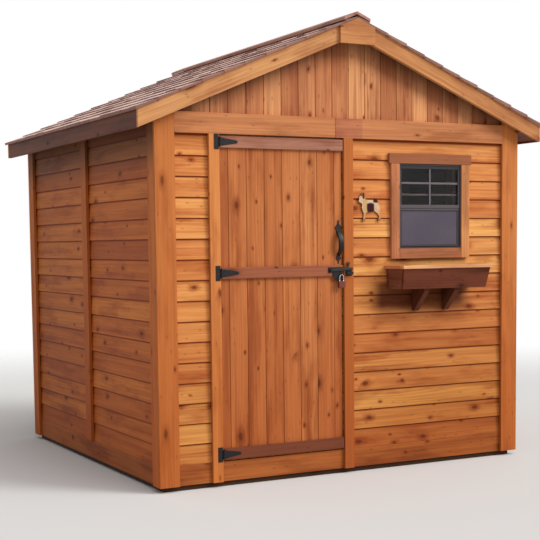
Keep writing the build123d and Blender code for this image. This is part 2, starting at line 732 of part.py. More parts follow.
# Latch: a plate and an eye on the middle batten, a bar that drops into a hook on the jamb
pivot_x = leaf_x1 - latch_back
plate_y = batten_y0 - hinge_t
bar_y1 = plate_y - bar_clear
bar_y0 = bar_y1 - bar_t
eye_x = leaf_x1 - eye_back
eye_z = latch_z - eye_drop
eye_y = bar_y0 - running_gap
with BuildPart() as latch_plate:
    slab(pivot_x - bar_h, leaf_x1 - lock_gap, plate_y, batten_y0, latch_z - bar_h, latch_z + bar_h)
    hasp_x1 = leaf_x1 - lock_gap
    hasp = [(hasp_x1, latch_z), (hasp_x1 - hasp_w, latch_z), (hasp_x1 - hasp_w, latch_z - hasp_h / 2)]
    hasp += [(hasp_x1 - hasp_w * hasp_flat, latch_z - hasp_h), (hasp_x1, latch_z - hasp_h)]
    along_y(hasp, plate_y, batten_y0)
    eye_out = eye_r + eye_wall
    with BuildSketch(Plane.YZ.offset(eye_x - eye_wall / 2)):
        with BuildLine():
            ear = Line((batten_y0, eye_z - eye_out), (eye_y, eye_z - eye_out))
            bend = ThreePointArc(ear @ 1, (eye_y - eye_out, eye_z), (eye_y, eye_z + eye_out))
            back_line = Line(bend @ 1, (batten_y0, eye_z + eye_out))
            Line(back_line @ 1, ear @ 0)
        make_face()
        with Locations((eye_y, eye_z)):
            Circle(eye_r, mode=Mode.SUBTRACT)
    extrude(amount=eye_wall)
    with BuildSketch(Plane.XZ.offset(-plate_y)):
        with Locations((pivot_x, latch_z)):
            Circle(bar_h / 2)
    extrude(amount=bar_clear - running_gap)
    with BuildSketch(Plane.XZ.offset(-batten_y0)):
        with Locations((pivot_x, latch_z)):
            Circle(pin_r)
    extrude(amount=hinge_t + bar_clear + bar_t + hinge_t)
    with BuildSketch(Plane.XZ.offset(-bar_y0 + running_gap)):
        with Locations((pivot_x, latch_z)):
            Circle(knuckle_r)
    extrude(amount=hinge_t)
finish(latch_plate, "latch_plate")

bar_dir = (cos(radians(bar_rise)), 0, sin(radians(bar_rise)))
bar_plane = Plane(origin=(pivot_x, bar_y1, latch_z), x_dir=bar_dir, z_dir=(0, -1, 0))
with BuildPart() as latch_bar:
    with BuildSketch(bar_plane):
        with BuildLine():
            low_edge = Line((0, -bar_h / 2), (bar_l - bar_h / 2, -bar_h / 2))
            nose = ThreePointArc(low_edge @ 1, (bar_l, 0), (bar_l - bar_h / 2, bar_h / 2))
            high_edge = Line(nose @ 1, (0, bar_h / 2))
            ThreePointArc(high_edge @ 1, (-bar_h / 2, 0), low_edge @ 0)
        make_face()
        Circle(pin_r + running_gap, mode=Mode.SUBTRACT)
    extrude(amount=bar_t)
    with BuildSketch(bar_plane):
        with Locations((bar_l - knob_from_tip, knob_z / 2)):
            Rectangle(bar_h / 2, knob_z)
    extrude(amount=bar_t)
    low_align = (Align.CENTER, Align.CENTER, Align.MIN)
    for start, wide, end, depth in (
        (0.0, knob_r - knob_bevel, knob_r, knob_bevel),
        (knob_bevel, knob_r, knob_r, knob_r - knob_bevel),
        (knob_r, knob_r, knob_r - knob_bevel, knob_bevel),
    ):
        centre = bar_plane.from_local_coords((bar_l - knob_from_tip, knob_z, start))
        with Locations(Plane(origin=centre, x_dir=bar_dir, z_dir=(0, -1, 0))):
            if wide == end:
                Cylinder(wide, depth, align=low_align)
            else:
                Cone(wide, end, depth, align=low_align)
finish(latch_bar, "latch_bar")

with BuildPart() as latch_catch:
    catch_x = door_x1 + catch_back
    seat_z = latch_z - catch_seat
    catch_y = -trim_y - hinge_t
    lip_y = bar_y0 - bar_clear
    hook = [(-trim_y, latch_z + catch_top), (catch_y, latch_z + catch_top), (catch_y, seat_z)]
    hook += [(lip_y, seat_z), (lip_y, seat_z + catch_lip), (lip_y - catch_wall, seat_z + catch_lip)]
    hook += [(lip_y - catch_wall, seat_z - catch_wall), (catch_y, seat_z - catch_wall)]
    hook += [(catch_y, seat_z - catch_top), (-trim_y, seat_z - catch_top)]
    along_x(hook, catch_x, catch_x + catch_w)
finish(latch_catch, "latch_catch")

# Padlock hanging from the eye of the latch plate
with BuildPart() as padlock:
    bow_r = shackle_span / 2
    bow_z = eye_z - eye_sag - bow_r
    lock_top = bow_z - shackle_leg
    lock_x0 = eye_x - lock_w / 2
    lock_y0 = eye_y - lock_t / 2
    slab(lock_x0, lock_x0 + lock_w, lock_y0, lock_y0 + lock_t, lock_top - lock_h, lock_top)
    with BuildSketch(Plane.XZ.offset(-eye_y - shackle_t / 2)):
        for radius, mode in ((bow_r + shackle_t / 2, Mode.ADD), (bow_r - shackle_t / 2, Mode.SUBTRACT)):
            with Locations((eye_x, bow_z)):
                Circle(radius, mode=mode)
            with Locations((eye_x, bow_z - shackle_leg / 2)):
                Rectangle(2 * radius, shackle_leg, mode=mode)
    extrude(amount=shackle_t)
finish(padlock, "padlock")
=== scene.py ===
# %% [markdown]
# # A cedar garden shed
# The shed is a panel kit: lapped cedar boards on the walls, upright boards in the gables, a
# ledged door, a small hung window with a flower box, and a roof of cedar shingles. The packed
# CAD model gives every solid in its right place. Here each board is cut, rounded and grained
# as a board of its own, because that is what the eye reads first on a timber building.

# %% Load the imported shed
import math
from types import SimpleNamespace
import bmesh
import bpy
import numpy as np
from mathutils import Matrix, Vector


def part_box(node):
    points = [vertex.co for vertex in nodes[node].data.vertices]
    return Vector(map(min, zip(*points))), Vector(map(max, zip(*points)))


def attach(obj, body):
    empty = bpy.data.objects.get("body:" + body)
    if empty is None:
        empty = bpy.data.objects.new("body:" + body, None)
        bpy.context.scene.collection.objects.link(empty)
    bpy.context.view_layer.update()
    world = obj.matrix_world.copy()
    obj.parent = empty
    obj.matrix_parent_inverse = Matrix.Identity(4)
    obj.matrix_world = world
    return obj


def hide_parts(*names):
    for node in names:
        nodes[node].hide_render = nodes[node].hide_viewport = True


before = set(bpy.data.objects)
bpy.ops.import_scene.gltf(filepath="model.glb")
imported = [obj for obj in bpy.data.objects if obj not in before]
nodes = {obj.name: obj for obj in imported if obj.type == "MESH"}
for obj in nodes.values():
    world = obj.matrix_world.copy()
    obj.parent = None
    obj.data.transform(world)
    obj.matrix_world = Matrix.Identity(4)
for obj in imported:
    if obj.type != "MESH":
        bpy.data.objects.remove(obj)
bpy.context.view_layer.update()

# %% [markdown]
# ## Shader maths
# A timber finish is arithmetic: rings are a sine of a warped distance, a knot is a small
# circle that bends them. Wiring that by hand hides the formula, so one small class wraps a
# socket and turns + - * / into Math nodes. A second one holds a material and adds any other
# node from its type, its settings and its inputs.


# %% A socket that does arithmetic
class Field:
    """A number that varies over a surface. Arithmetic on it adds Math nodes."""

    def __init__(self, finish, socket):
        self.finish = finish
        self.socket = socket

    def math(self, operation, *values):
        """One Math node with this field first."""
        return self.finish.add("ShaderNodeMath", {"operation": operation}, [self, *values])

    def __add__(self, other):
        return self.math("ADD", other)

    def __mul__(self, other):
        return self.math("MULTIPLY", other)

    def __sub__(self, other):
        return self.math("SUBTRACT", other)

    def __rsub__(self, other):
        return self.finish.add("ShaderNodeMath", {"operation": "SUBTRACT"}, [other, self])

    def __truediv__(self, other):
        return self.math("DIVIDE", other)

    def __pow__(self, other):
        return self.math("POWER", other)

    __radd__ = __add__
    __rmul__ = __mul__


# %% A material that takes one node a call
white = (1.0, 1.0, 1.0, 1.0)


class Finish:
    """A material, or the world where one is handed in, whose nodes are added one call at a time."""

    def __init__(self, name, owner=None):
        self.owner = owner or bpy.data.materials.new(name)
        self.owner.use_nodes = True
        self.tree = self.owner.node_tree
        self.tree.nodes.clear()

    def put(self, socket, value):
        """Links a field to a socket, or sets a plain value on it."""
        if isinstance(value, Field):
            self.tree.links.new(value.socket, socket)
        elif value is not None:
            socket.default_value = value

    def node(self, kind, settings=None, inputs=None):
        """A node of that type: its settings first, then its inputs, by place or by name."""
        made = self.tree.nodes.new(kind)
        for key, value in (settings or {}).items():
            setattr(made, key, value)
        pairs = inputs.items() if isinstance(inputs, dict) else enumerate(inputs or [])
        for key, value in pairs:
            self.put(made.inputs[key], value)
        return made

    def add(self, kind, settings=None, inputs=None, output=0):
        """The same, returned as a field of one output."""
        return Field(self, self.node(kind, settings, inputs).outputs[output])

    def attribute(self, name, output="Fac"):
        """A number or a vector that the piece's mesh carries."""
        return self.add("ShaderNodeAttribute", {"attribute_name": name}, [], output)

    def place(self):
        """Object coordinates, which are metres in the shed's own frame."""
        return self.add("ShaderNodeTexCoord", {}, [], "Object")

    def split(self, vector):
        """The three numbers of a vector or a colour."""
        parts = self.node("ShaderNodeSeparateXYZ", {}, [vector]).outputs
        return [Field(self, part) for part in parts]

    def scaled(self, vector, scale):
        """A vector stretched by a scale on each axis."""
        return self.add("ShaderNodeVectorMath", {"operation": "MULTIPLY"}, [vector, scale])

    def noise(self, vector, scale, detail=2.0, roughness=0.5):
        """Smooth noise from 0 to 1 over a stretched vector."""
        values = {"Vector": self.scaled(vector, scale), "Scale": 1.0, "Detail": detail,
                  "Roughness": roughness}
        return self.add("ShaderNodeTexNoise", {"noise_dimensions": "3D"}, values, "Fac")

    def cells(self, vector, scale, feature="F1"):
        """Flat cells over a stretched vector: their distance and, where they have one, their chance."""
        values = {"Vector": self.scaled(vector, (*scale, 0.0)), "Scale": 1.0}
        settings = {"voronoi_dimensions": "2D", "feature": feature}
        outputs = self.node("ShaderNodeTexVoronoi", settings, values).outputs
        return [Field(self, outputs[key]) for key in ("Distance", "Color") if key in outputs]

    def step(self, value, low, high):
        """A smooth step: 0 under low, 1 over high."""
        values = {"Value": value, "From Min": low, "From Max": high, "To Min": 0.0, "To Max": 1.0}
        return self.add("ShaderNodeMapRange", {"interpolation_type": "SMOOTHSTEP"}, values, "Result")

    def between(self, value, rise, fall):
        """1 between two smooth steps, up over the range rise and down over the range fall."""
        return self.step(value, *rise) * (1.0 - self.step(value, *fall))

    def mix(self, factor, first, second, blend="MIX"):
        """A colour between two, by a factor."""
        made = self.node("ShaderNodeMix", {"data_type": "RGBA", "blend_type": blend})
        for place, value in ((0, factor), (6, first), (7, second)):
            self.put(made.inputs[place], value)
        return Field(self, made.outputs[2])

    def tint(self, shade, amount, colour):
        """A colour multiplied by another one, as far as the amount says."""
        return self.mix(1.0, shade, self.mix(amount, white, (*colour, 1.0)), "MULTIPLY")

    def bump(self, height, strength, distance):
        """A normal tilted by a height, in metres once it is multiplied by distance."""
        values = {"Height": height, "Strength": strength, "Distance": distance}
        return self.add("ShaderNodeBump", {}, values, "Normal")

    def surface(self, **inputs):
        """Ends the material with a Principled shader, and hands the material over."""
        names = {key.replace("_", " ").title().replace("Ior", "IOR"): inputs[key] for key in inputs}
        self.node("ShaderNodeOutputMaterial", {}, [self.add("ShaderNodeBsdfPrincipled", {}, names)])
        return self.owner


def paint(red, green, blue):
    """A colour written as the numbers an image shows, made linear for the shader."""
    shown = np.array([red, green, blue]) / 255.0
    linear = np.where(shown < 0.04045, shown / 12.92, ((shown + 0.055) / 1.055) ** 2.4)
    return (*linear.tolist(), 1.0)


def darker(colour, red, green, blue):
    """A colour with its three parts multiplied."""
    return (colour[0] * red, colour[1] * green, colour[2] * blue, 1.0)


print("orange board is", [round(value, 3) for value in paint(205, 130, 70)])

# %% [markdown]
# ## Cedar
# Knotty cedar has four scales of pattern: each board has its own tone, broad streaks run down
# it, growth rings curve round the knots, and fine fibres catch the light. A board carries its
# own coordinates in the attribute "grain" (along, across and through the wood, each shifted at
# random), so no two boards repeat and the grain turns with the board. The knots are cells of a
# Voronoi pattern, of which only some are kept.


# %% Knots, rings and fibres
def wood_pattern(finish, grain, keep, spots):
    """The fields that every cedar board is coloured by.

    A knot's core and halo are smooth steps of the distance from the middle of its cell, over its
    own radius, and both fade at the cell's border, so that no straight line shows.
    rings = sine of (across * 300 + through * 120 + slow wander * 26 + knot halo * 9)
    """
    across, through = finish.split(grain)[1:]
    wobble = finish.noise(grain, (26.0, 40.0, 40.0)) - 0.5
    far, chance = finish.cells(grain, spots)
    luck, size = finish.split(chance)[:2]
    border = finish.cells(grain, spots, "DISTANCE_TO_EDGE")[0]
    kept = finish.step(luck, 1.0 - keep, 1.01 - keep) * finish.step(border, 0.0, 0.12)
    reach = (far + wobble * 0.07) / (size * size * size * 0.085 + 0.032)
    halo = (1.0 - finish.step(reach, 0.6, 3.4)) * kept
    near, chance = finish.cells(grain, (12.0, 30.0))
    fleck = 1.0 - finish.step(near + wobble * 0.1, 0.04, 0.2)
    wander = finish.noise(grain, (1.1, 7.0, 7.0))
    return SimpleNamespace(
        core=(1.0 - finish.step(reach, 0.45, 1.25)) * kept,
        halo=halo,
        fleck=fleck * finish.step(finish.split(chance)[0], 0.88, 0.89),
        wander=wander,
        rings=(across * 300.0 + through * 120.0 + wander * 26.0 + halo * 9.0).math("SINE") * 0.5 + 0.5,
        fibre=finish.noise(grain, (9.0, 520.0, 520.0), 3.0, 0.6),
        lines=finish.step(finish.noise(grain, (2.2, 130.0, 130.0)), 0.25, 0.75),
        streak=finish.noise(grain, (0.9, 24.0, 24.0), 3.0, 0.55),
        patch=finish.noise(grain, (2.2, 8.0, 8.0), 3.0, 0.6),
    )


# %% Weather and painted shade on the wood
pitch = 5.0 / 12.0
eave_low, eave_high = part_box("eave_fascias")
rake_line = eave_low.z + eave_high.x * pitch + 0.012
# Painted shade close under the eaves, a colour to multiply by.
painted_eave_shade = (0.38, 0.46, 0.70)
box_low, box_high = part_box("planter_floor")
# Below the flower box the wall is darker: a damp stain and painted shade together.
damp_and_shade_area = ((box_low.x - 0.10, box_low.z - 0.26), (box_high.x - 0.02, box_low.z + 0.02))
band_stretch = (-0.108, 0.083)


def weathered(finish, shade, patch, foot=(0.72, 0.56, 0.40), eave=None, rake=None, stretch=None,
              damp=None):
    """The colour, changed by painted shade, a damp stain and a redder board, each a colour to multiply by.

    The foot of a wall is darker and redder, a painted shade, by a smooth step of the height up to 1.75 m,
    a little stronger to the right. Close under the eave the wood is duller, a painted shade, and it is
    darker towards the back. Under the rake boards painted shade darkens it where height + pitch * |x|
    comes near the rake's line. The front's band board is redder along one stretch of x. Below the flower
    box, from (x, z) = damp[0] to damp[1], the front is dark with a damp stain and painted shade, most of
    all in its upper part.
    """
    right, out, height = finish.split(finish.place())
    front = 1.0 - finish.step(out, -0.5, 0.5)
    # Painted shade towards the foot of a wall, a little stronger to the right.
    low = (1.0 - finish.step(height, 0.05, 1.75)) * (finish.step(right, -0.3, 0.6) * 0.35 + 0.75)
    shade = finish.tint(shade, low, foot)
    if eave:
        # Painted shade under the eave, and the side darker towards the back.
        shade = finish.tint(shade, finish.step(height, 1.70, 1.95), eave)
        shade = finish.tint(shade, finish.step(out, -0.6, 1.0), (0.84, 0.82, 0.78))
    if rake:
        # Painted shade on the gable under the rake boards.
        painted_rake_shade = finish.step(height + right.math("ABSOLUTE") * pitch, rake - 0.16, rake + 0.01) * 0.85
        shade = finish.tint(shade, painted_rake_shade, (0.40, 0.40, 0.46))
    if stretch:
        x_low, x_high = stretch
        inside = finish.between(right, (x_low, x_low + 0.002), (x_high - 0.004, x_high + 0.004))
        shade = finish.tint(shade, inside * front, (0.86, 0.78, 0.94))
    if damp:
        (x_low, z_low), (x_high, z_high) = damp
        # A damp stain and painted shade below the flower box.
        damp_and_shade = finish.between(right, (x_low - 0.06, x_low + 0.05), (x_high - 0.05, x_high + 0.06))
        light_part = finish.step(height, z_low, z_low + 0.12) * 0.35
        dark_part = finish.step(height, z_high - 0.17, z_high - 0.11) * 0.65
        damp_and_shade = damp_and_shade * (light_part + dark_part) * (1.0 - finish.step(height, z_high, z_high + 0.04))
        shade = finish.tint(shade, damp_and_shade * (patch * 0.4 + 0.75) * front, (0.20, 0.12, 0.12))
    return shade


# %% A knotty timber finish
def knotty(name, pale, warm, deep, keep=0.5, streaks=1.0, spots=(4.0, 7.0), painted_lap_shade=False,
           darkest=1.0, **weather_and_shade):
    """Timber whose tone runs from pale over warm to deep, no further than darkest.

    Streaks, patches, rings and halos pull the colour on to deep, and knots are darker still. On a lap
    board the lap line is painted shade on both edges of what shows: under the next board's butt, and on
    the butt. The painted shade and the weathering are what the function above asks for.
    """
    finish = Finish(name)
    pale, warm, deep = paint(*pale), paint(*warm), paint(*deep)
    knot, ring_tone = darker(deep, 0.34, 0.26, 0.22), darker(deep, 0.62, 0.62, 0.62)
    tone = finish.attribute("tone").math("MINIMUM", darkest)
    wood = wood_pattern(finish, finish.attribute("grain", "Vector"), keep, spots)
    shade = finish.mix(finish.step(tone, 0.1, 0.6), pale, warm)
    shade = finish.mix(finish.step(tone, 0.6, 1.0) * 0.8, shade, deep)
    deeper = finish.step(wood.streak, 0.40, 0.74) * 0.6 * streaks
    deeper = deeper + finish.step(wood.patch, 0.46, 0.68) * 0.5
    deeper = deeper + wood.rings * finish.step(wood.wander, 0.3, 0.7) * 0.24 + wood.halo * 0.45
    shade = finish.mix(deeper.math("MINIMUM", 0.92), shade, deep)
    shade = finish.mix(wood.halo * wood.halo * 0.4, shade, ring_tone)
    shade = finish.mix((wood.core * 0.75 + wood.fleck * 0.35).math("MINIMUM", 0.8), shade, knot)
    if painted_lap_shade:
        # Painted shade along each lap: a dark strip under the next board's butt, and a darker butt.
        lap = finish.attribute("lap")
        shade = finish.mix(finish.step(lap, 0.1025, 0.1110) * 0.9, shade, darker(deep, 0.60, 0.34, 0.12))
        shade = finish.mix((1.0 - finish.step(lap, 0.0, 0.004)) * 0.5, shade, ring_tone)
    light = 0.76 + wood.fibre * 0.26 + wood.lines * 0.20
    grey = finish.add("ShaderNodeCombineColor", {}, [light, light, light])
    shade = finish.mix(1.0, shade, grey, "MULTIPLY")
    return finish.surface(
        base_color=weathered(finish, shade, wood.patch, **weather_and_shade),
        roughness=0.5 + wood.fibre * 0.2 + wood.core * 0.1,
        specular_ior_level=0.12,
        normal=finish.bump(wood.fibre * 0.7 + wood.rings * 0.3 - wood.core * 0.6, 0.35, 0.0007),
    )


# %% The timbers of this shed
long_knots = (3.0, 8.0)
# Foot colours: painted shade towards the foot of a wall.
faint_foot_shade = (0.9, 0.85, 0.8)
no_foot_shade = (1.0, 1.0, 1.0)
cedar_walls = knotty("cedar lap boards", (246, 182, 104), (224, 146, 82), (174, 88, 40), 0.55,
                     foot=(0.56, 0.43, 0.31), painted_lap_shade=True, darkest=0.74, damp=damp_and_shade_area)
# The sides' boards are painted redder than the front's: a painted shade tint for walls that face away from
# the light.
side_boards_in_shade = knotty("cedar lap boards of the sides", (218, 132, 64), (200, 112, 54), (162, 80, 40),
                    foot=(0.72, 0.60, 0.44), painted_lap_shade=True, eave=painted_eave_shade)
cedar_gable = knotty("cedar gable boards", (230, 162, 108), (206, 134, 86), (158, 86, 54), 0.75,
                     rake=rake_line)
cedar_door = knotty("cedar door boards", (212, 138, 84), (194, 116, 66), (154, 80, 40), 0.6)
cedar_trim = knotty("cedar trim boards", (232, 156, 88), (210, 130, 70), (176, 96, 46), 0.35, 0.8,
                    long_knots)
cedar_band = knotty("cedar band boards", (226, 160, 110), (206, 134, 86), (164, 98, 58), 0.35, 0.8,
                    long_knots, stretch=band_stretch)
cedar_rake = knotty("cedar rake boards", (224, 166, 110), (206, 142, 88), (166, 100, 60), 0.4, 0.8,
                    long_knots)
# Their trim is painted redder in the same way, a painted shade tint.
side_trim_in_shade = knotty("cedar trim boards of the sides", (228, 142, 74), (210, 120, 56), (172, 88, 38),
                         0.35, 0.8, long_knots, eave=painted_eave_shade)
cedar_skirt = knotty("cedar skirt boards", (210, 134, 74), (186, 108, 56), (146, 76, 38), 0.4,
                     foot=(0.64, 0.52, 0.38))
cedar_eave = knotty("cedar eave boards", (172, 100, 62), (124, 72, 50), (82, 46, 36), 0.6)
cedar_casing = knotty("cedar window casing", (228, 156, 96), (198, 126, 86), (150, 90, 58), 0.2, 0.6)
batten_stain = knotty("stained door battens", (172, 118, 96), (165, 95, 64), (130, 74, 52), 0.3, 0.8,
                      foot=(0.44, 0.36, 0.34))
planter_stain = knotty("stained flower box boards", (138, 76, 52), (112, 58, 38), (84, 40, 26), 0.4,
                       foot=faint_foot_shade)
# The box's ends are painted lighter and more orange than its front: painted light for ends that face away
# from the sun.
lit_planter_end_wood = knotty("stained flower box ends", (156, 102, 78), (136, 86, 66), (108, 64, 50), 0.3,
                          foot=faint_foot_shade)
# The brackets are painted near black: painted shade under the flower box.
shaded_bracket_wood = knotty("dark brackets", (108, 58, 38), (86, 46, 30), (62, 34, 22), 0.3, foot=faint_foot_shade)
# Pale bare cedar on the rim, painted paler still as painted light where the sun falls on it.
bare_and_sunlit_rim_wood = knotty("worn rim boards", (246, 190, 140), (214, 146, 104), (176, 106, 68), 0.3, foot=no_foot_shade)
framing = knotty("planed framing timber", (222, 186, 138), (208, 166, 114), (186, 136, 84), 0.3, 0.8,
                 (4.0, 16.0), foot=(0.95, 0.92, 0.88))
ridge_wood = knotty("weathered ridge boards", (206, 164, 148), (176, 124, 108), (134, 84, 72), 0.3,
                    foot=no_foot_shade)
# Dark wood for the floor rims and joists at the foot of the shed.
dark_sill = knotty("dark floor rims", (86, 62, 44), (70, 50, 36), (54, 38, 28), 0.2)
print("materials so far:", len(bpy.data.materials))

# %% [markdown]
# ## Boards from outlines
# Every sawn board is an outline carried along a straight path. The outline's corners are
# rounded a little, the first and last stations are drawn in to soften the ends, and whole
# batches of boards are worked out at once as arrays: board, station, outline point, axis.


# %% Outlines
rng = np.random.default_rng(20)
soft = 0.0016
X, Y, Z = np.eye(3)


def rounded(width, depth, radius=soft, turns=2):
    """Rounded rectangles from (0, 0) to (width, depth): corner centre + radius * (cos, sin)."""
    width = np.atleast_1d(width)[:, None]
    depth = np.atleast_1d(depth)[:, None]
    corner = np.repeat(np.arange(4), turns + 1)
    angle = (corner + np.tile(np.arange(turns + 1) / turns, 4)) * np.pi / 2
    right = np.isin(corner, (0, 3))
    high = np.isin(corner, (0, 1))
    v = np.where(right, width - radius, radius) + radius * np.cos(angle)
    w = np.where(high, depth - radius, radius) + radius * np.sin(angle)
    return np.stack([v, w], axis=-1)


# %% Lofted boards
drawn_part = 0.7
grain_shift = 9.0


def loft(outline, start, end, across, out, cut=(0.0, 0.0), drawn=soft, grain_on_path=True):
    """Boards as arrays: start + t * (end - start) + across * v + out * w for every station t.

    The outline is counted anticlockwise in (v, w). The two cuts lean the ends: each moves its end
    along the path by cut * v. Returns the points, the side faces, the end faces, and the grain,
    tone and lap of every point.
    """
    start, end = np.atleast_2d(start), np.atleast_2d(end)
    count = max(len(start), len(end), len(outline))
    start, end, across, out = [np.broadcast_to(vector, (count, 3)) for vector in (start, end, across, out)]
    outline = np.broadcast_to(outline, (count, *outline.shape[1:]))
    length = np.linalg.norm(end - start, axis=1)
    path = (end - start) / length[:, None]
    middle = outline.mean(axis=1, keepdims=True)
    reach = np.abs(outline - middle).max(axis=1, keepdims=True)
    at_an_end = np.array([1.0, 0.0, 0.0, 1.0])[None, :, None, None]
    shrink = 1.0 - drawn_part * at_an_end * np.minimum(drawn / reach, 0.5)[:, None]
    flat = middle[:, None] + (outline - middle)[:, None] * shrink
    inset = drawn_part * drawn
    ends = np.stack([0 * length, 0 * length + inset, length - inset, length], axis=1)
    lean = np.stack([np.broadcast_to(c, count) for c in (cut[0], cut[0], cut[1], cut[1])], axis=1)
    travel = ends[:, :, None] + lean[:, :, None] * flat[..., 0]
    points = start[:, None, None] + path[:, None, None] * travel[..., None]
    points = points + across[:, None, None] * flat[..., :1] + out[:, None, None] * flat[..., 1:]
    shift = rng.uniform(-grain_shift, grain_shift, (count, 1, 1, 3))
    first_two = (travel, flat[..., 0]) if grain_on_path else (flat[..., 0], travel)
    grain = np.stack([*first_two, flat[..., 1]], axis=-1)
    stations, ring = points.shape[1], points.shape[2]
    first = (np.arange(count) * stations * ring)[:, None, None]
    s, p = np.meshgrid(np.arange(stations - 1), np.arange(ring), indexing="ij")
    nxt = (p + 1) % ring
    quads = np.stack([s * ring + p, s * ring + nxt, (s + 1) * ring + nxt, (s + 1) * ring + p], axis=-1)
    quads = (first[..., None] + quads).reshape(-1, 4)
    loop = np.arange(ring)
    caps = (first + np.stack([loop[::-1], loop + (stations - 1) * ring])).reshape(-1, ring)
    if np.cross(across[0], out[0]) @ path[0] < 0:
        quads, caps = quads[:, ::-1], caps[:, ::-1]
    tone = np.broadcast_to(rng.random((2, count)).mean(axis=0)[:, None, None], points.shape[:3])
    return {
        "points": points.reshape(-1, 3), "quads": quads, "caps": caps,
        "grain": (grain + shift).reshape(-1, 3), "tone": tone.reshape(-1), "lap": flat[..., 0].reshape(-1),
    }


def joined(*batches):
    """Several batches of boards as one, with the later faces counted on."""
    total = {key: [] for key in ("points", "grain", "tone", "lap")}
    faces, used = [], 0
    for batch in batches:
        faces += (batch["quads"] + used).tolist() + (batch["caps"] + used).tolist()
        used += len(batch["points"])
        for key, values in total.items():
            values.append(batch[key])
    return {key: np.concatenate(values) for key, values in total.items()} | {"faces": faces}


trial = loft(rounded(0.1, 0.02), (0, 0, 0), X, Y, Z)
print("a board of 12 outline points has", len(trial["points"]), "points")


# %% Pieces
def carry(mesh, fields):
    """Puts numbers, or vectors of three, on the mesh's points as attributes."""
    for key, values in fields.items():
        vector = values.ndim == 2
        made = mesh.attributes.new(key, "FLOAT_VECTOR" if vector else "FLOAT", "POINT")
        made.data.foreach_set("vector" if vector else "value", values.astype(np.float32).ravel())


def placed(name, data):
    """An object in the scene that shows that mesh, lamp or camera."""
    item = bpy.data.objects.new(name, data)
    bpy.context.scene.collection.objects.link(item)
    return item


def piece(name, material, body, replaces=(), *, batch=None, mesh=None):
    """A finished piece at the origin, on its body and the nodes it stands for."""
    if mesh is None:
        mesh = bpy.data.meshes.new(name)
        mesh.from_pydata(batch["points"].tolist(), [], batch["faces"])
        carry(mesh, {key: batch[key] for key in ("grain", "tone", "lap") if key in batch})
    mesh.validate()
    mesh.materials.clear()
    mesh.materials.append(material)
    item = placed(name, mesh)
    if replaces:
        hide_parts(*replaces)
    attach(item, body)
    return item


# %% [markdown]
# ## Lapped walls
# Bevel cladding is thick at its lower edge and thin at the top, where the next board laps it.
# The outline below has that slope in front and a rabbet behind, so each board sits on the one
# under it without cutting into it. One outline serves every wall; only its path changes.

# %% Lap board outline
front_low, front_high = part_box("front_cladding")
back_low, back_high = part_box("back_cladding")
side_low, side_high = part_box("side_cladding")
exposure = 0.1143
lap_count = int((front_high.z - front_low.z) / exposure)
thick = front_high.y - front_low.y
lip = 0.0085
tuck = 0.008


def lap_outline(height):
    """Lap board outline as (height, out from the back): slope in front, rabbet behind."""
    top = height + tuck
    slope = lip / (exposure + tuck)
    rabbet = thick - lip + 0.0005
    worn, inner = 0.0012, tuck + 0.001
    points = [(worn, thick), (0.0, thick - worn), (0.0, rabbet), (inner, rabbet), (inner, 0.0), (top, 0.0),
              (top, thick - slope * top - 0.0004), (0.004, thick - slope * 0.004)]
    return np.array(points)[None]


def points_at(x, y, z):
    """Points, from a number or an array for each axis."""
    return np.stack(np.broadcast_arrays(x, y, z), axis=1)


def wall_run(start, end, rows, out, height=exposure):
    """Lap boards between two (x, y) points on a wall, with their butts at those heights."""
    return loft(lap_outline(height), points_at(*start, rows), points_at(*end, rows), Z, out)


# %% Front lap boards
jamb_low, jamb_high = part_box("door_jambs")
hole_low, hole_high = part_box("window_frame")
jamb_width = 0.064
left_stop, right_stop = jamb_low.x + jamb_width, jamb_high.x - jamb_width
rows = front_low.z + exposure * np.arange(lap_count)
beside = (rows + exposure > hole_low.z) & (rows < hole_high.z)
stretches = ((front_low.x, left_stop, rows), (right_stop, front_high.x, rows[~beside]),
             (right_stop, hole_low.x, rows[beside]), (hole_high.x, front_high.x, rows[beside]))
front_runs = [wall_run((x0, front_high.y), (x1, front_high.y), those, -Y) for x0, x1, those in stretches]
piece("front_lap_boards", cedar_walls, "shed", ("front_cladding", "window_cladding"),
      batch=joined(*front_runs))
print("front wall:", lap_count, "courses")

# %% Side and back lap boards
butt_gap = 0.0004
side_count = int((side_high.z - side_low.z) / exposure)
side_rows = side_low.z + exposure * np.arange(side_count)
top_row = side_rows[-1:] + exposure
top_height = side_high.z - top_row[0] - tuck
side_runs = []
for wall_x, out in ((side_low.x + thick, -X), (side_high.x - thick, X)):
    for y0, y1 in ((side_low.y, -butt_gap), (butt_gap, side_high.y)):
        side_runs.append(wall_run((wall_x, y0), (wall_x, y1), side_rows, out))
        side_runs.append(wall_run((wall_x, y0), (wall_x, y1), top_row, out, top_height))
piece("side_lap_boards", side_boards_in_shade, "shed", ("side_cladding",), batch=joined(*side_runs))

back_runs = [wall_run((x0, back_low.y), (x1, back_low.y), rows, Y)
             for x0, x1 in ((back_low.x, -butt_gap), (butt_gap, back_high.x))]
piece("back_lap_boards", cedar_walls, "shed", ("back_cladding",),
      batch=joined(*back_runs))
print("side courses:", side_count, "and a top board of", round(top_height * 1000), "mm")

# %% [markdown]
# ## Gables and door boards
# The gable boards stand upright at an even pitch with a narrow shadow joint. Their tops are cut
# to the roof, which is the outline's path leaning at one end. The door boards are the same
# without the lean.

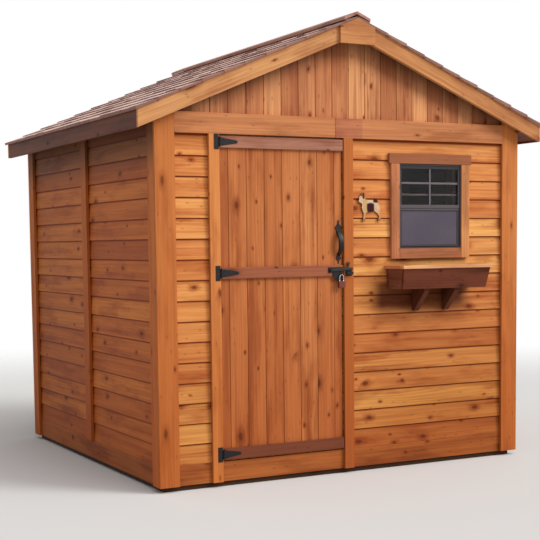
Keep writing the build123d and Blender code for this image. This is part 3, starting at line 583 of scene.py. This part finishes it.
# %% Gable boards
gable_low, gable_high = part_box("gable_walls")
half_wall = gable_high.x
eave_top = gable_high.z - half_wall * pitch
board_pitch = 0.112
joint = 0.0022
under_deck = 0.003
gable_round, gable_uneven = 0.003, 0.0015
groups = int(half_wall / board_pitch) + 1
edges = np.clip(np.arange(-groups, groups + 1) * board_pitch, -half_wall, half_wall)
left, right = edges[:-1] + joint / 2, edges[1:] - joint / 2
sides = np.where(left + right < 0, 1.0, -1.0)
tops = eave_top + (half_wall - np.abs(left)) * pitch - under_deck
gable_runs = []
for back_face, out in ((gable_low.y + thick, -Y), (gable_high.y - thick, Y)):
    ends = points_at(left, back_face, gable_low.z), points_at(left, back_face, tops)
    depth = thick - rng.uniform(0.0, gable_uneven, len(left))
    outline = rounded(right - left, depth, gable_round)
    gable_runs.append(loft(outline, *ends, X, out, cut=(0.0, pitch * sides)))
piece("gable_board_set", cedar_gable, "shed", ("gable_walls",),
      batch=joined(*gable_runs))
print("gable boards a side:", len(left), "peak at", round(gable_high.z, 4))

# %% Door boards
door_low, door_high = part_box("door_boards")
door_pitch = 0.1143
door_joint = 0.0018
door_round, door_uneven = 0.0026, 0.0012
middle = (door_low.x + door_high.x) / 2
door_edges = np.concatenate([[door_low.x], middle + np.arange(-3, 4) * door_pitch, [door_high.x]])
left, right = door_edges[:-1] + door_joint / 2, door_edges[1:] - door_joint / 2
left[0], right[-1] = door_low.x, door_high.x
start = points_at(left, door_high.y, door_low.z)
depth = (door_high.y - door_low.y) - rng.uniform(0.0, door_uneven, len(left))
outline = rounded(right - left, depth, door_round)
door_run = loft(outline, start, start + Z * (door_high.z - door_low.z), X, -Y)
piece("door_board_set", cedar_door, "door", ("door_boards",), batch=joined(door_run))
print("door boards:", len(left))

# %% [markdown]
# ## Trim from the CAD solids
# The trim boards already have their true outlines in the CAD, with bevelled tops and plumb cuts.
# A copy of each node is merged, its flat triangles are joined into whole faces, and a small
# bevel breaks its edges. What is left to work out is the grain: the longest edge of a board is
# its length, and its largest face is its broad side.


# %% Copies of CAD meshes, board by board
def merged_copy(node):
    """The node's mesh with its loose triangles joined into whole flat faces."""
    work = bmesh.new()
    work.from_mesh(nodes[node].data)
    bmesh.ops.remove_doubles(work, verts=work.verts, dist=1e-5)
    bmesh.ops.dissolve_limit(work, angle_limit=0.005, verts=work.verts, edges=work.edges)
    mesh = bpy.data.meshes.new(node + "_dressed")
    work.to_mesh(mesh)
    work.free()
    return mesh


def islands(count, edges):
    """Label of each point's board: the lowest point number that its edges reach."""
    label = np.arange(count)
    while True:
        low = np.minimum(label[edges[:, 0]], label[edges[:, 1]])
        new = label.copy()
        np.minimum.at(new, edges[:, 0], low)
        np.minimum.at(new, edges[:, 1], low)
        new = new[new]
        if (new == label).all():
            return label
        label = new


def points_and_edges(mesh):
    """The mesh's points, its edges, and the board that each point belongs to."""
    points = np.empty(len(mesh.vertices) * 3)
    mesh.vertices.foreach_get("co", points)
    edges = np.empty(len(mesh.edges) * 2, dtype=np.int64)
    mesh.edges.foreach_get("vertices", edges)
    points, edges = points.reshape(-1, 3), edges.reshape(-1, 2)
    return points, edges, islands(len(points), edges)


# %% Dressed copies with their own grain
kept_attributes = ("position", ".edge_verts", ".corner_vert", ".corner_edge", "sharp_face",
                   "material_index")


def dressed(node, material, body="shed", bevel=soft, tones=()):
    """A copy of a CAD node's boards with broken edges, and grain along each board.

    The tones, where given, are for its boards in order from the left, the front and the foot.
    """
    mesh = merged_copy(node)
    for old in list(mesh.attributes):
        if old.name not in kept_attributes:
            mesh.attributes.remove(old)
    points, edges, label = points_and_edges(mesh)
    spans = points[edges[:, 1]] - points[edges[:, 0]]
    lengths = np.linalg.norm(spans, axis=1)
    normals = np.array([face.normal for face in mesh.polygons])
    areas = np.array([face.area for face in mesh.polygons])
    owner = label[np.array([face.vertices[0] for face in mesh.polygons])]
    grain, tone = np.zeros_like(points), np.zeros(len(points))
    boards = [label == board for board in np.unique(label)]
    boards.sort(key=lambda mine: tuple(points[mine].mean(axis=0).round(2)))
    for number, mine in enumerate(boards):
        board = label[mine][0]
        own_edges = np.where(label[edges[:, 0]] == board)[0]
        along = spans[own_edges[lengths[own_edges].argmax()]]
        along = along / np.linalg.norm(along)
        own_faces = np.where(owner == board)[0]
        through = normals[own_faces[areas[own_faces].argmax()]]
        axes = np.stack([along, np.cross(through, along), through])
        grain[mine] = points[mine] @ axes.T + rng.uniform(-grain_shift, grain_shift, 3)
        chance = rng.random(2).mean()
        tone[mine] = tones[number % len(tones)] if tones else chance
    carry(mesh, {"grain": grain, "tone": tone})
    item = piece(node + "_timber", material, body, (node,), mesh=mesh)
    broken = item.modifiers.new("broken edges", "BEVEL")
    broken.width = bevel
    broken.segments = 2
    broken.limit_method = "ANGLE"


# %% Trim boards and flower box
trim = (
    ("side_corner_boards", side_trim_in_shade), ("wall_battens", side_trim_in_shade), ("belly_bands", cedar_band),
    ("rake_fascias", cedar_rake), ("eave_fascias", cedar_eave), ("peak_plates", cedar_rake),
    ("eave_soffits", cedar_eave), ("corner_boards", cedar_trim, 0.80, 0.4, 0.70, 0.5),
    ("door_jambs", cedar_trim, 0.42, 1.0), ("skirts", cedar_skirt, 0.5, 0.4, 0.6, 0.5),
    ("window_trim", cedar_casing, 0.55, 0.6, 1.0, 0.15),
)
for node, material, *tones in trim:
    dressed(node, material, tones=tones)
dressed("door_battens", batten_stain, "door", tones=(0.85, 0.5, 0.0))
# The rim's front board takes the palest tone and its ends a darker one: painted light on the front, painted
# shade on the ends.
flower_box = (
    ("planter_sides", planter_stain), ("planter_floor", planter_stain), ("planter_ends", lit_planter_end_wood),
    ("planter_brackets", shaded_bracket_wood), ("planter_rim", bare_and_sunlit_rim_wood, 0.7, 0.0, 0.7),
)
for node, material, *tones in flower_box:
    dressed(node, material, tones=tones)
print("dressed nodes:", len(trim) + 1 + len(flower_box))

# %% Framing timber inside
planed = ("floor_deck", "wall_plates", "wall_studs", "wall_headers", "rafters", "ridge_board", "roof_deck")
dark_floor_frame = ("floor_rims", "floor_joists")
for node in planed + dark_floor_frame:
    dressed(node, dark_sill if node in dark_floor_frame else framing)
print("framing nodes:", len(planed + dark_floor_frame))

# %% [markdown]
# ## Shingles
# Cedar shingles come in random widths, and no two lie quite the same: butts wander by a few
# millimetres, some ride higher. Each is a wedge, thick at the butt, whose outline lies in the
# plane of slope and thickness and is carried across its own width. A thinner full-length layer
# lies under each course, so that the gaps between shingles show wood and not the deck.

# %% Shingle finish
course_step = 0.14
roof_low, roof_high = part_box("shingles")


def shingle_finish():
    """Sawn cedar: tone from pink-brown to grey, fibres down the slope, darker where the saw has cut,
    and painted shade just under each butt.

    The attribute "lap" is the distance up the slope, so its rest after whole courses is the
    distance from the butt; the butt's own face and the ends at the rakes count as sawn.
    """
    finish = Finish("cedar shingles")
    grain = finish.attribute("grain", "Vector")
    tone = finish.attribute("tone")
    fibre = finish.noise(grain, (14.0, 420.0, 420.0), 3.0, 0.65)
    blotch = finish.noise(grain, (9.0, 22.0, 22.0), 3.0, 0.6)
    shade = finish.mix(tone, paint(230, 194, 176), paint(178, 128, 110))
    shade = finish.mix(finish.step(blotch, 0.45, 0.75) * 0.5, shade, paint(146, 92, 76))
    shade = finish.mix(finish.step(fibre, 0.45, 0.8) * 0.3, shade, paint(232, 206, 192))
    up_course = finish.attribute("lap").math("MODULO", course_step)
    along_ridge = finish.split(finish.place())[1].math("ABSOLUTE")
    rake_end = finish.step(along_ridge, roof_high.y - 0.005, roof_high.y - 0.003) * 0.95
    sawn = (1.0 - finish.step(up_course, 0.0085, 0.0105)).math("MAXIMUM", rake_end)
    shade = finish.mix(sawn * 0.92, shade, finish.mix(tone, paint(138, 78, 58), paint(92, 46, 36)))
    # Painted shade just under the butts of the course above.
    shade = finish.mix(finish.step(up_course, 0.120, 0.139) * 0.4, shade, paint(80, 40, 34))
    return finish.surface(base_color=shade, roughness=0.5 + blotch * 0.25, specular_ior_level=0.6,
                          coat_weight=0.55 - sawn * 0.5, coat_roughness=0.5,
                          normal=finish.bump(fibre + blotch * 0.5, 0.5, 0.001))


# %% Shingle courses
slope_angle = math.atan(pitch)
down = np.array([math.cos(slope_angle), 0.0, -math.sin(slope_angle)])
lift = np.array([math.sin(slope_angle), 0.0, math.cos(slope_angle)])
over = 0.014
fascia_thick = 0.019
edge_point = np.array([eave_high.x + over, 0.0, eave_high.z - (fascia_thick + over) * pitch])
slope_length = edge_point[0] / math.cos(slope_angle)
course_count = int((slope_length - 0.06) / course_step)
butt, head, soft_butt = 0.020, 0.012, 0.003
gap = 0.0018
stagger = 0.0016
first_width, widths, last_width = (0.04, 0.09), (0.075, 0.19), 0.16
wander, first_wander = 0.006, 0.002
thinner_butt, thinner_head = 0.0045, 0.001
layer_back = 0.008
shingle_shape = {"drawn": 0.001, "grain_on_path": False}


def shingle_outline(butt_at, butt_thick, head_thick, length, floor=0.0005):
    """Wedge outlines as (distance up the slope, height off the deck), with a softened butt."""
    columns = np.broadcast_arrays(butt_at, butt_thick, head_thick, length)
    at, tall, low, long = [np.atleast_1d(c).astype(float) for c in columns]
    v = np.stack([at + long, at + long, at + soft_butt, at, at], axis=1)
    w = np.stack([0 * at + floor, low, tall, tall - soft_butt, 0 * at + floor], axis=1)
    return np.stack([v, w], axis=-1)


def roof_side(side):
    """The shingles of one slope, and the layer under them. Every other course ends a little sooner."""
    mirror = np.array([side, 1.0, 1.0])
    up, normal, foot = -down * mirror, lift * mirror, edge_point * mirror
    runs = []
    for course in range(course_count + 1):
        cuts = [roof_low.y + rng.uniform(*first_width)]
        while cuts[-1] < roof_high.y - last_width:
            cuts.append(cuts[-1] + rng.uniform(*widths))
        cuts = np.array([roof_low.y] + cuts[:-1] + [roof_high.y])
        left, right = cuts[:-1] + gap, cuts[1:] - gap
        inset = stagger * (course % 2)
        left[0], right[-1] = roof_low.y + inset, roof_high.y - inset
        number = len(left)
        butt_line = course * course_step
        length = min(course_step + 0.02, slope_length - butt_line - 0.004)
        start_at = butt_line + rng.uniform(0.0, wander if course else first_wander, number)
        tall = butt - rng.uniform(0.0, thinner_butt, number)
        low = head - 0.0015 - rng.uniform(0.0, thinner_head, number)
        outlines = shingle_outline(start_at, tall, low, length)
        ends = foot + Y * left[:, None], foot + Y * right[:, None]
        runs.append(loft(outlines, *ends, up, normal, **shingle_shape))
        under = shingle_outline(butt_line + layer_back, butt - layer_back, head - layer_back / 2,
                                length - layer_back, 0.0002)
        ends = foot + Y * (roof_low.y + 0.004), foot + Y * (roof_high.y - 0.004)
        runs.append(loft(under, *ends, up, normal, **shingle_shape))
    return runs


shingle_set = piece("shingle_courses", shingle_finish(), "shed", ("shingles",),
                    batch=joined(*roof_side(1.0), *roof_side(-1.0)))
dressed("ridge_cap", ridge_wood)
print("shingle faces:", len(shingle_set.data.polygons), "courses a side:", course_count + 1)

# %% [markdown]
# ## Metal, glass and paint
# The fittings are black powder-coated steel: nearly black, satin, with a slight orange-peel
# texture and a little bare wear. They keep their CAD shapes, which are already round. The lock
# is worn copper under a steel bow, and the knob of the latch bar has worn to red-brown.


# %% Plain finishes
def satin(finish, shade, dull, **rest):
    """Ends a coated finish: one fine noise varies its gloss and tilts its surface."""
    peel = finish.noise(finish.place(), (260.0, 260.0, 260.0))
    return finish.surface(base_color=shade, roughness=dull + peel * 0.18,
                          normal=finish.bump(peel, 0.25, 0.0003), **rest)


def coated(name, colour, wear, dull=0.5, metal=0.0):
    """A satin coat, through which wear shows in small spots."""
    finish = Finish(name)
    cloud = finish.noise(finish.place(), (40.0, 40.0, 40.0), 3.0)
    shade = finish.mix(finish.step(cloud, 0.62, 0.72) * 0.5, colour, wear)
    return satin(finish, shade, dull, metallic=metal, specular_ior_level=0.3)


def lock_finish(top_of_body):
    """Worn copper body under a bright steel bow: the colour changes at the top of the body."""
    finish = Finish("worn lock metal")
    place = finish.place()
    cloud = finish.noise(place, (90.0, 90.0, 90.0), 3.0)
    bow = finish.step(finish.split(place)[2], top_of_body, top_of_body + 0.0006)
    shade = finish.mix(cloud, paint(132, 68, 48), paint(84, 40, 30))
    shade = finish.mix(bow, shade, paint(196, 188, 184))
    return finish.surface(base_color=shade, metallic=bow * 0.45 + 0.5, roughness=0.42 - bow * 0.16,
                          normal=finish.bump(cloud, 0.3, 0.0003))


def knob_finish(foot_of_knob):
    """The latch bar is black, and its knob has worn to red-brown."""
    finish = Finish("latch bar iron")
    knob = finish.step(finish.split(finish.place())[2], foot_of_knob, foot_of_knob + 0.004)
    return satin(finish, finish.mix(knob, paint(40, 36, 30), paint(74, 34, 26)), 0.36, metallic=0.3)


# %% Fittings
def repaint(node, material):
    """A CAD node keeps its shape and takes a finish."""
    mesh = nodes[node].data
    mesh.materials.clear()
    mesh.materials.append(material)


black_iron = coated("black coated iron", paint(22, 18, 20), paint(52, 46, 48), 0.36, 0.1)
for node in ("hinge_leaves", "hinge_straps", "latch_plate", "latch_catch"):
    repaint(node, black_iron)
repaint("window_frame", coated("grey window frame", paint(70, 60, 64), paint(84, 74, 78)))

# Clear glass tinted grey, a painted shade for the dark inside seen through it,
# with a low index so that the white room hardly shows in it.
pane = Finish("window pane").surface(base_color=(0.50, 0.46, 0.46, 1.0), roughness=0.03, ior=1.28,
                                     transmission_weight=1.0)
repaint("window_glass", pane)
knob_high = 0.024
lock_body_high = 0.040
foot_of_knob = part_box("latch_bar")[1].z - knob_high
top_of_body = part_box("padlock")[0].z + lock_body_high
dressed("pull_handle", black_iron, "door", 0.003)
dressed("latch_bar", knob_finish(foot_of_knob), "latch", 0.0015)
dressed("padlock", lock_finish(top_of_body), "door", 0.0014)
print("knob from", round(foot_of_knob, 3), "m up, bow from", round(top_of_body, 3), "m up")

# %% [markdown]
# ## Screw heads
# Round-headed black screws hold the leaves, straps and latch plate. Each head is a low dome: rings
# of a quarter circle round an axis, closed by one flat face in front and one behind.

# %% Screw heads
sides_of_head = 10
head_radius, head_height = 0.0045, 0.0025
seat_depth = 0.0008


def domes(middles):
    """Heads that face -Y: ring k is radius cos(a) wide and height sin(a) out, a = 0 to 65 degrees."""
    middles = np.asarray(middles, float)
    lean = np.radians([0.0, 0.0, 35.0, 65.0])
    out = head_height * np.sin(lean)
    out[0] = -seat_depth
    around = np.linspace(0.0, 2.0 * math.pi, sides_of_head, endpoint=False)
    wide = head_radius * np.cos(lean)[:, None]
    y = np.broadcast_to(-out[:, None], (len(lean), sides_of_head))
    shape = np.stack([wide * np.cos(around), y, wide * np.sin(around)], axis=-1).reshape(-1, 3)
    low = np.arange(sides_of_head)
    high = np.roll(low, -1)
    band = np.stack([low, high, high + sides_of_head, low + sides_of_head], axis=1)
    faces = []
    for first in len(shape) * np.arange(len(middles)):
        for ring in range(len(lean) - 1):
            faces += (band + first + ring * sides_of_head).tolist()
        faces += [(low + first + (len(lean) - 1) * sides_of_head).tolist(), (low[::-1] + first).tolist()]
    return {"points": (middles[:, None, :] + shape).reshape(-1, 3), "faces": faces}


def plates(node):
    """Left end, right end and middle height of each of a node's plates, from the foot up."""
    points, _, label = points_and_edges(merged_copy(node))
    boxes = [(points[label == one].min(0), points[label == one].max(0)) for one in np.unique(label)]
    boxes.sort(key=lambda pair: (round(pair[0][2], 3), pair[0][0]))
    return [(low[0], high[0], (low[2] + high[2]) / 2) for low, high in boxes]


# %% Where the screws sit
plate_thick = 0.0025
leaf_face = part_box("door_jambs")[0].y - plate_thick
strap_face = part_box("door_battens")[0].y - plate_thick
leaf_hole, leaf_rise = 0.013, 0.027
leaf_heads = [(left_end + leaf_hole, leaf_face, middle_z + rise)
              for left_end, _, middle_z in plates("hinge_leaves") for rise in (-leaf_rise, leaf_rise)]
along_strap = ((0.012, 0.0), (0.050, 0.0), (0.086, 0.013), (0.086, -0.013))
along_plate = ((0.010, 0.008), (0.058, 0.036))
strap_heads = [(right_end - back, strap_face, middle_z + rise)
               for _, right_end, middle_z in plates("hinge_straps") for back, rise in along_strap]
plate_low, plate_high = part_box("latch_plate")
strap_heads += [(plate_high.x - back, strap_face, plate_low.z + rise) for back, rise in along_plate]
piece("leaf_screws", black_iron, "shed", batch=domes(leaf_heads))
piece("strap_screws", black_iron, "door", batch=domes(strap_heads))
print("screw heads:", len(leaf_heads) + len(strap_heads))

# %% [markdown]
# ## Window bars and insect screen
# The upper sash is divided in four by slim bars on its glass, and a grey insect screen stands
# before the lower sash, in the same plane as the upper one. A screen's wires are finer than a
# dot of the picture, so it is a thin sheet that lets some light through, in a slim frame. A pale
# strip some way behind the upper glass is a painted reflection of the bars.


# %% Slim strips across the window
def strip(width, depth, start, end, across, edge_radius=0.001, **shape):
    """One slim board from start to end that faces the front."""
    return loft(rounded(width, depth, edge_radius), start, end, across, -Y, **shape)


def level(x_range, y, z):
    """Both ends of a level strip."""
    return (x_range[0], y, z), (x_range[1], y, z)


def upright(x, y, z_range):
    """Both ends of an upright strip."""
    return (x, y, z_range[0]), (x, y, z_range[1])


# %% Bars of the upper sash
sash_low, sash_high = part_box("window_sashes")
stile, rail, bar = 0.012, 0.020, 0.012
bar_deep, cross_deep = 0.005, 0.004
bar_rise = 0.022
meet = (sash_low.z + sash_high.z) / 2
glass_x = (sash_low.x + stile, sash_high.x - stile)
upper_z = (meet + rail / 2, sash_high.z - rail)
bar_y = sash_low.y + 0.007
bars = (strip(bar, bar_deep, *upright(sum(glass_x) / 2 - bar / 2, bar_y, upper_z), X),
        strip(bar, cross_deep, *level(glass_x, bar_y, sum(upper_z) / 2 + bar_rise - bar / 2), Z))
bar_paint = coated("window bars", paint(102, 94, 98), paint(114, 106, 110))
piece("window_bars", bar_paint, "shed", batch=joined(*bars))
print("glass of the upper sash:", [round(high - low, 3) for low, high in (glass_x, upper_z)], "m")


# %% Sash paint and screen cloth
def sash_finish(low, high, top):
    """Grey paint with painted light from low to high, where the rails meet, and painted shade at the top.
    """
    finish = Finish("sash paint")
    height = finish.split(finish.place())[2]
    painted_rail_light = finish.between(height, (low, low + 0.002), (high - 0.002, high))
    # Painted light on the rails where they meet.
    shade = finish.mix(painted_rail_light, paint(60, 53, 56), paint(84, 76, 81))
    # Painted shade at the top of the sash, under the head trim.
    shade = finish.mix(finish.step(height, top - 0.034, top - 0.018), shade, paint(40, 36, 38))
    return satin(finish, shade, 0.5, specular_ior_level=0.3)


def screen_finish():
    """Woven screen: a matt grey sheet, of which about 30 % is open."""
    finish = Finish("insect screen")
    cloud = finish.noise(finish.place(), (3.0, 3.0, 5.0))
    shade = finish.mix(cloud, paint(92, 85, 98), paint(116, 108, 120))
    return finish.surface(base_color=shade, roughness=0.8, specular_ior_level=0.1, alpha=cloud * 0.1 + 0.65)


sash_paint = sash_finish(meet - rail / 2 - 0.011, meet + rail / 2 + 0.002, sash_high.z)
repaint("window_sashes", sash_paint)

# %% Insect screen and painted bar reflection
screen_y = sash_low.y + 0.006
screen_z = (sash_low.z + 0.004, meet - rail / 2 - 0.003)
screen_x = (sash_low.x + 0.003, sash_high.x - 0.003)
tucked, frame_strip = 0.005, 0.013
cloth, cloth_round = 0.0008, 0.0003
level_deep, upright_deep = 0.008, 0.007
cloth_z = (screen_z[0] + tucked, screen_z[1] - tucked)
sheet = strip(screen_x[1] - screen_x[0] - 2 * tucked, cloth,
              *upright(screen_x[0] + tucked, screen_y, cloth_z), X, cloth_round, drawn=cloth_round)
piece("insect_screen", screen_finish(), "shed", batch=joined(sheet))
strip_y = screen_y + 0.003
stile_z = (screen_z[0] + frame_strip, screen_z[1] - frame_strip)
strips = [strip(frame_strip, level_deep, *level(screen_x, strip_y, z), Z)
          for z in (screen_z[0], stile_z[1])]
strips += [strip(frame_strip, upright_deep, *upright(x, strip_y, stile_z), X)
           for x in (screen_x[0], screen_x[1] - frame_strip)]
piece("screen_frame", sash_paint, "shed", batch=joined(*strips))
# A pale strip behind the upper glass: a painted reflection of the bars.
inner_z, inner_y = 1.650, sash_low.y + 0.021
inner_high, inner_deep = 0.012, 0.006
inner_ends = level((sash_low.x, sash_high.x), inner_y, inner_z)
bar_reflection_strip = strip(inner_high, inner_deep, *inner_ends, Z)
bar_reflection_paint = coated("inner rail", paint(176, 164, 168), paint(190, 178, 182))
piece("painted_bar_reflection", bar_reflection_paint, "shed", batch=joined(bar_reflection_strip))
print("screen:", [round(high - low, 3) for low, high in (screen_x, screen_z)], "m")

# %% [markdown]
# ## Painted tin dog
# The ornament is a flat cut-out, painted cream with a dark saddle and brown ears. The patches
# are smooth steps of the distance from a middle, measured on the ornament itself.

# %% Dog colours
dog_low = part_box("dog_ornament")[0]
dog_foot = (dog_low.x + 0.073, dog_low.z)
chest, back_line, saddle = paint(200, 162, 108), paint(96, 58, 32), paint(52, 18, 28)
face, ear, rump, muzzle = paint(84, 42, 8), paint(128, 84, 38), paint(62, 28, 10), paint(70, 28, 12)
patches = (
    (-0.026, 0.092, 0.013, 0.046, chest), (0.006, 0.131, 0.030, 0.007, back_line),
    (0.0135, 0.078, 0.027, 0.028, saddle), (-0.036, 0.150, 0.008, 0.020, face),
    (-0.051, 0.154, 0.008, 0.010, ear), (0.054, 0.121, 0.023, 0.014, rump),
    (-0.071, 0.128, 0.006, 0.008, muzzle),
)


def dog_finish():
    """Cream tin, browner at the feet, with brown and plum patches, and painted shade on its cut edges.

    patch = 1 - step of ((x - x0) / a)^4 + ((z - z0) / b)^4, from the middle of the feet, and a
    little noise makes its edge uneven
    """
    finish = Finish("painted tin")
    place = finish.place()
    x, y, z = finish.split(place)
    x, z = x - dog_foot[0], z - dog_foot[1]
    rough = finish.noise(place, (60.0, 60.0, 60.0))
    shade = finish.mix(rough, paint(232, 200, 168), paint(190, 150, 112))
    shade = finish.mix((1.0 - finish.step(z, 0.030, 0.085)) * 0.8, shade, paint(206, 136, 84))
    shade = finish.mix((1.0 - finish.step(z, 0.004, 0.024)) * 0.7, shade, paint(120, 66, 30))
    for x0, z0, a, b, colour in patches:
        reach = ((x - x0) / a) ** 4.0 + ((z - z0) / b) ** 4.0 + rough * 1.2
        shade = finish.mix(1.0 - finish.step(reach, 0.9, 2.2), shade, colour)
    # Painted shade on the tin's cut edges.
    painted_edge_shade = finish.step(y, dog_low.y + 0.0003, dog_low.y + 0.0008)
    shade = finish.mix(painted_edge_shade * 0.95, shade, paint(70, 28, 8))
    return finish.surface(base_color=shade, roughness=0.6, specular_ior_level=0.1)


repaint("dog_ornament", dog_finish())
print("dog colours:", len(patches) + 1)

# %% [markdown]
# ## Floor, light and camera
# The photo was taken under a bright cloudy sky. One broad lamp stands for the brightest part of
# it, on the right in front, and a broader one for the sky overhead, which lays the soft shade
# under boards and flower box. The world fills in, and shows as white to the camera, in metal and
# through glass. The floor is pale and fades into that white.

# %% Floor
half_floor = 12.0
floor_finish = Finish("pale floor")
across_floor, along_floor = floor_finish.split(floor_finish.place())[:2]
away = (across_floor * across_floor + along_floor * along_floor) ** 0.5
matt = floor_finish.add("ShaderNodeBsdfDiffuse", {}, {"Color": (0.66, 0.66, 0.65, 1.0)})
clear = floor_finish.add("ShaderNodeBsdfTransparent")
fade = floor_finish.add("ShaderNodeMixShader", {}, [floor_finish.step(away, 4.0, 9.0), matt, clear])
floor_finish.node("ShaderNodeOutputMaterial", {}, [fade])
floor_mesh = bpy.data.meshes.new("pale_floor")
corners = [(x * half_floor, y * half_floor, 0) for x, y in ((-1, -1), (1, -1), (1, 1), (-1, 1))]
floor_mesh.from_pydata(corners, [], [(0, 1, 2, 3)])
floor_mesh.materials.append(floor_finish.owner)
placed("pale_floor", floor_mesh)
print("floor fades out from 4 to 9 m")

# %% Lamps
lamps = (("bright_sky", 1.88, 24.0, (0.62, -0.60, 0.50), (1.0, 0.97, 0.93)),
         ("high_sky", 1.36, 50.0, (0.14, -0.46, 0.88), (0.97, 0.98, 1.0)))
for lamp_name, energy, width, direction, tint in lamps:
    lamp_data = bpy.data.lights.new(lamp_name, "SUN")
    lamp_data.energy = energy
    lamp_data.angle = math.radians(width)
    lamp_data.color = tint
    towards = Vector(direction).to_track_quat("Z", "Y")
    placed(lamp_name, lamp_data).rotation_euler = towards.to_euler()
print("lamps:", len(lamps))

# %% White room
room = Finish("white_room", bpy.data.worlds.new("white_room"))
bpy.context.scene.world = room.owner
ray = room.node("ShaderNodeLightPath").outputs
camera_ray, glossy_ray, glass_ray = [Field(room, ray["Is " + kind + " Ray"])
                                     for kind in ("Camera", "Glossy", "Transmission")]
seen = camera_ray.math("MAXIMUM", glossy_ray).math("MAXIMUM", glass_ray)
fill = room.add("ShaderNodeBackground", {}, {"Color": (1.0, 0.98, 0.97, 1.0), "Strength": 0.45})
wall = room.add("ShaderNodeBackground", {}, {"Color": white, "Strength": 1.0})
room.node("ShaderNodeOutputWorld", {}, [room.add("ShaderNodeMixShader", {}, [seen, fill, wall])])
print("world nodes:", len(room.tree.nodes))

# %% [markdown]
# The camera stands where the photographer stood. Its turn, tip and roll, its place and its focal
# length were solved from the shed's corners; the picture's middle is off the lens's middle, which
# is what the two shifts say.

# %% Camera
picture = 540.0
focal_dots = 1209.32
lens_middle = (260.0, 345.0)
sensor_width = 36.0
eye = np.array([-3.7788, -7.2340, 1.3700])
turn, tip, roll = np.radians([27.5226, 4.7851, -0.6422])
ahead = np.array([math.sin(turn) * math.cos(tip), math.cos(turn) * math.cos(tip), -math.sin(tip)])
right_way = np.cross(ahead, Z)
right_way = right_way / np.linalg.norm(right_way)
down_way = np.cross(ahead, right_way)
rolled = np.array([[math.cos(roll), -math.sin(roll)], [math.sin(roll), math.cos(roll)]])
rolled = rolled @ np.stack([right_way, down_way])
camera_data = bpy.data.cameras.new("photo_view")
camera_data.sensor_width = sensor_width
camera_data.lens = focal_dots / picture * sensor_width
camera_data.shift_x = (picture / 2 - lens_middle[0]) / picture
camera_data.shift_y = (lens_middle[1] - picture / 2) / picture
camera = placed("photo_view", camera_data)
stand = np.eye(4)
stand[:3] = np.stack([rolled[0], -rolled[1], -ahead, eye], axis=1)
camera.matrix_world = Matrix(stand.tolist())
bpy.context.scene.camera = camera
bpy.context.scene.view_settings.view_transform = "Standard"
print("camera at", eye.tolist())
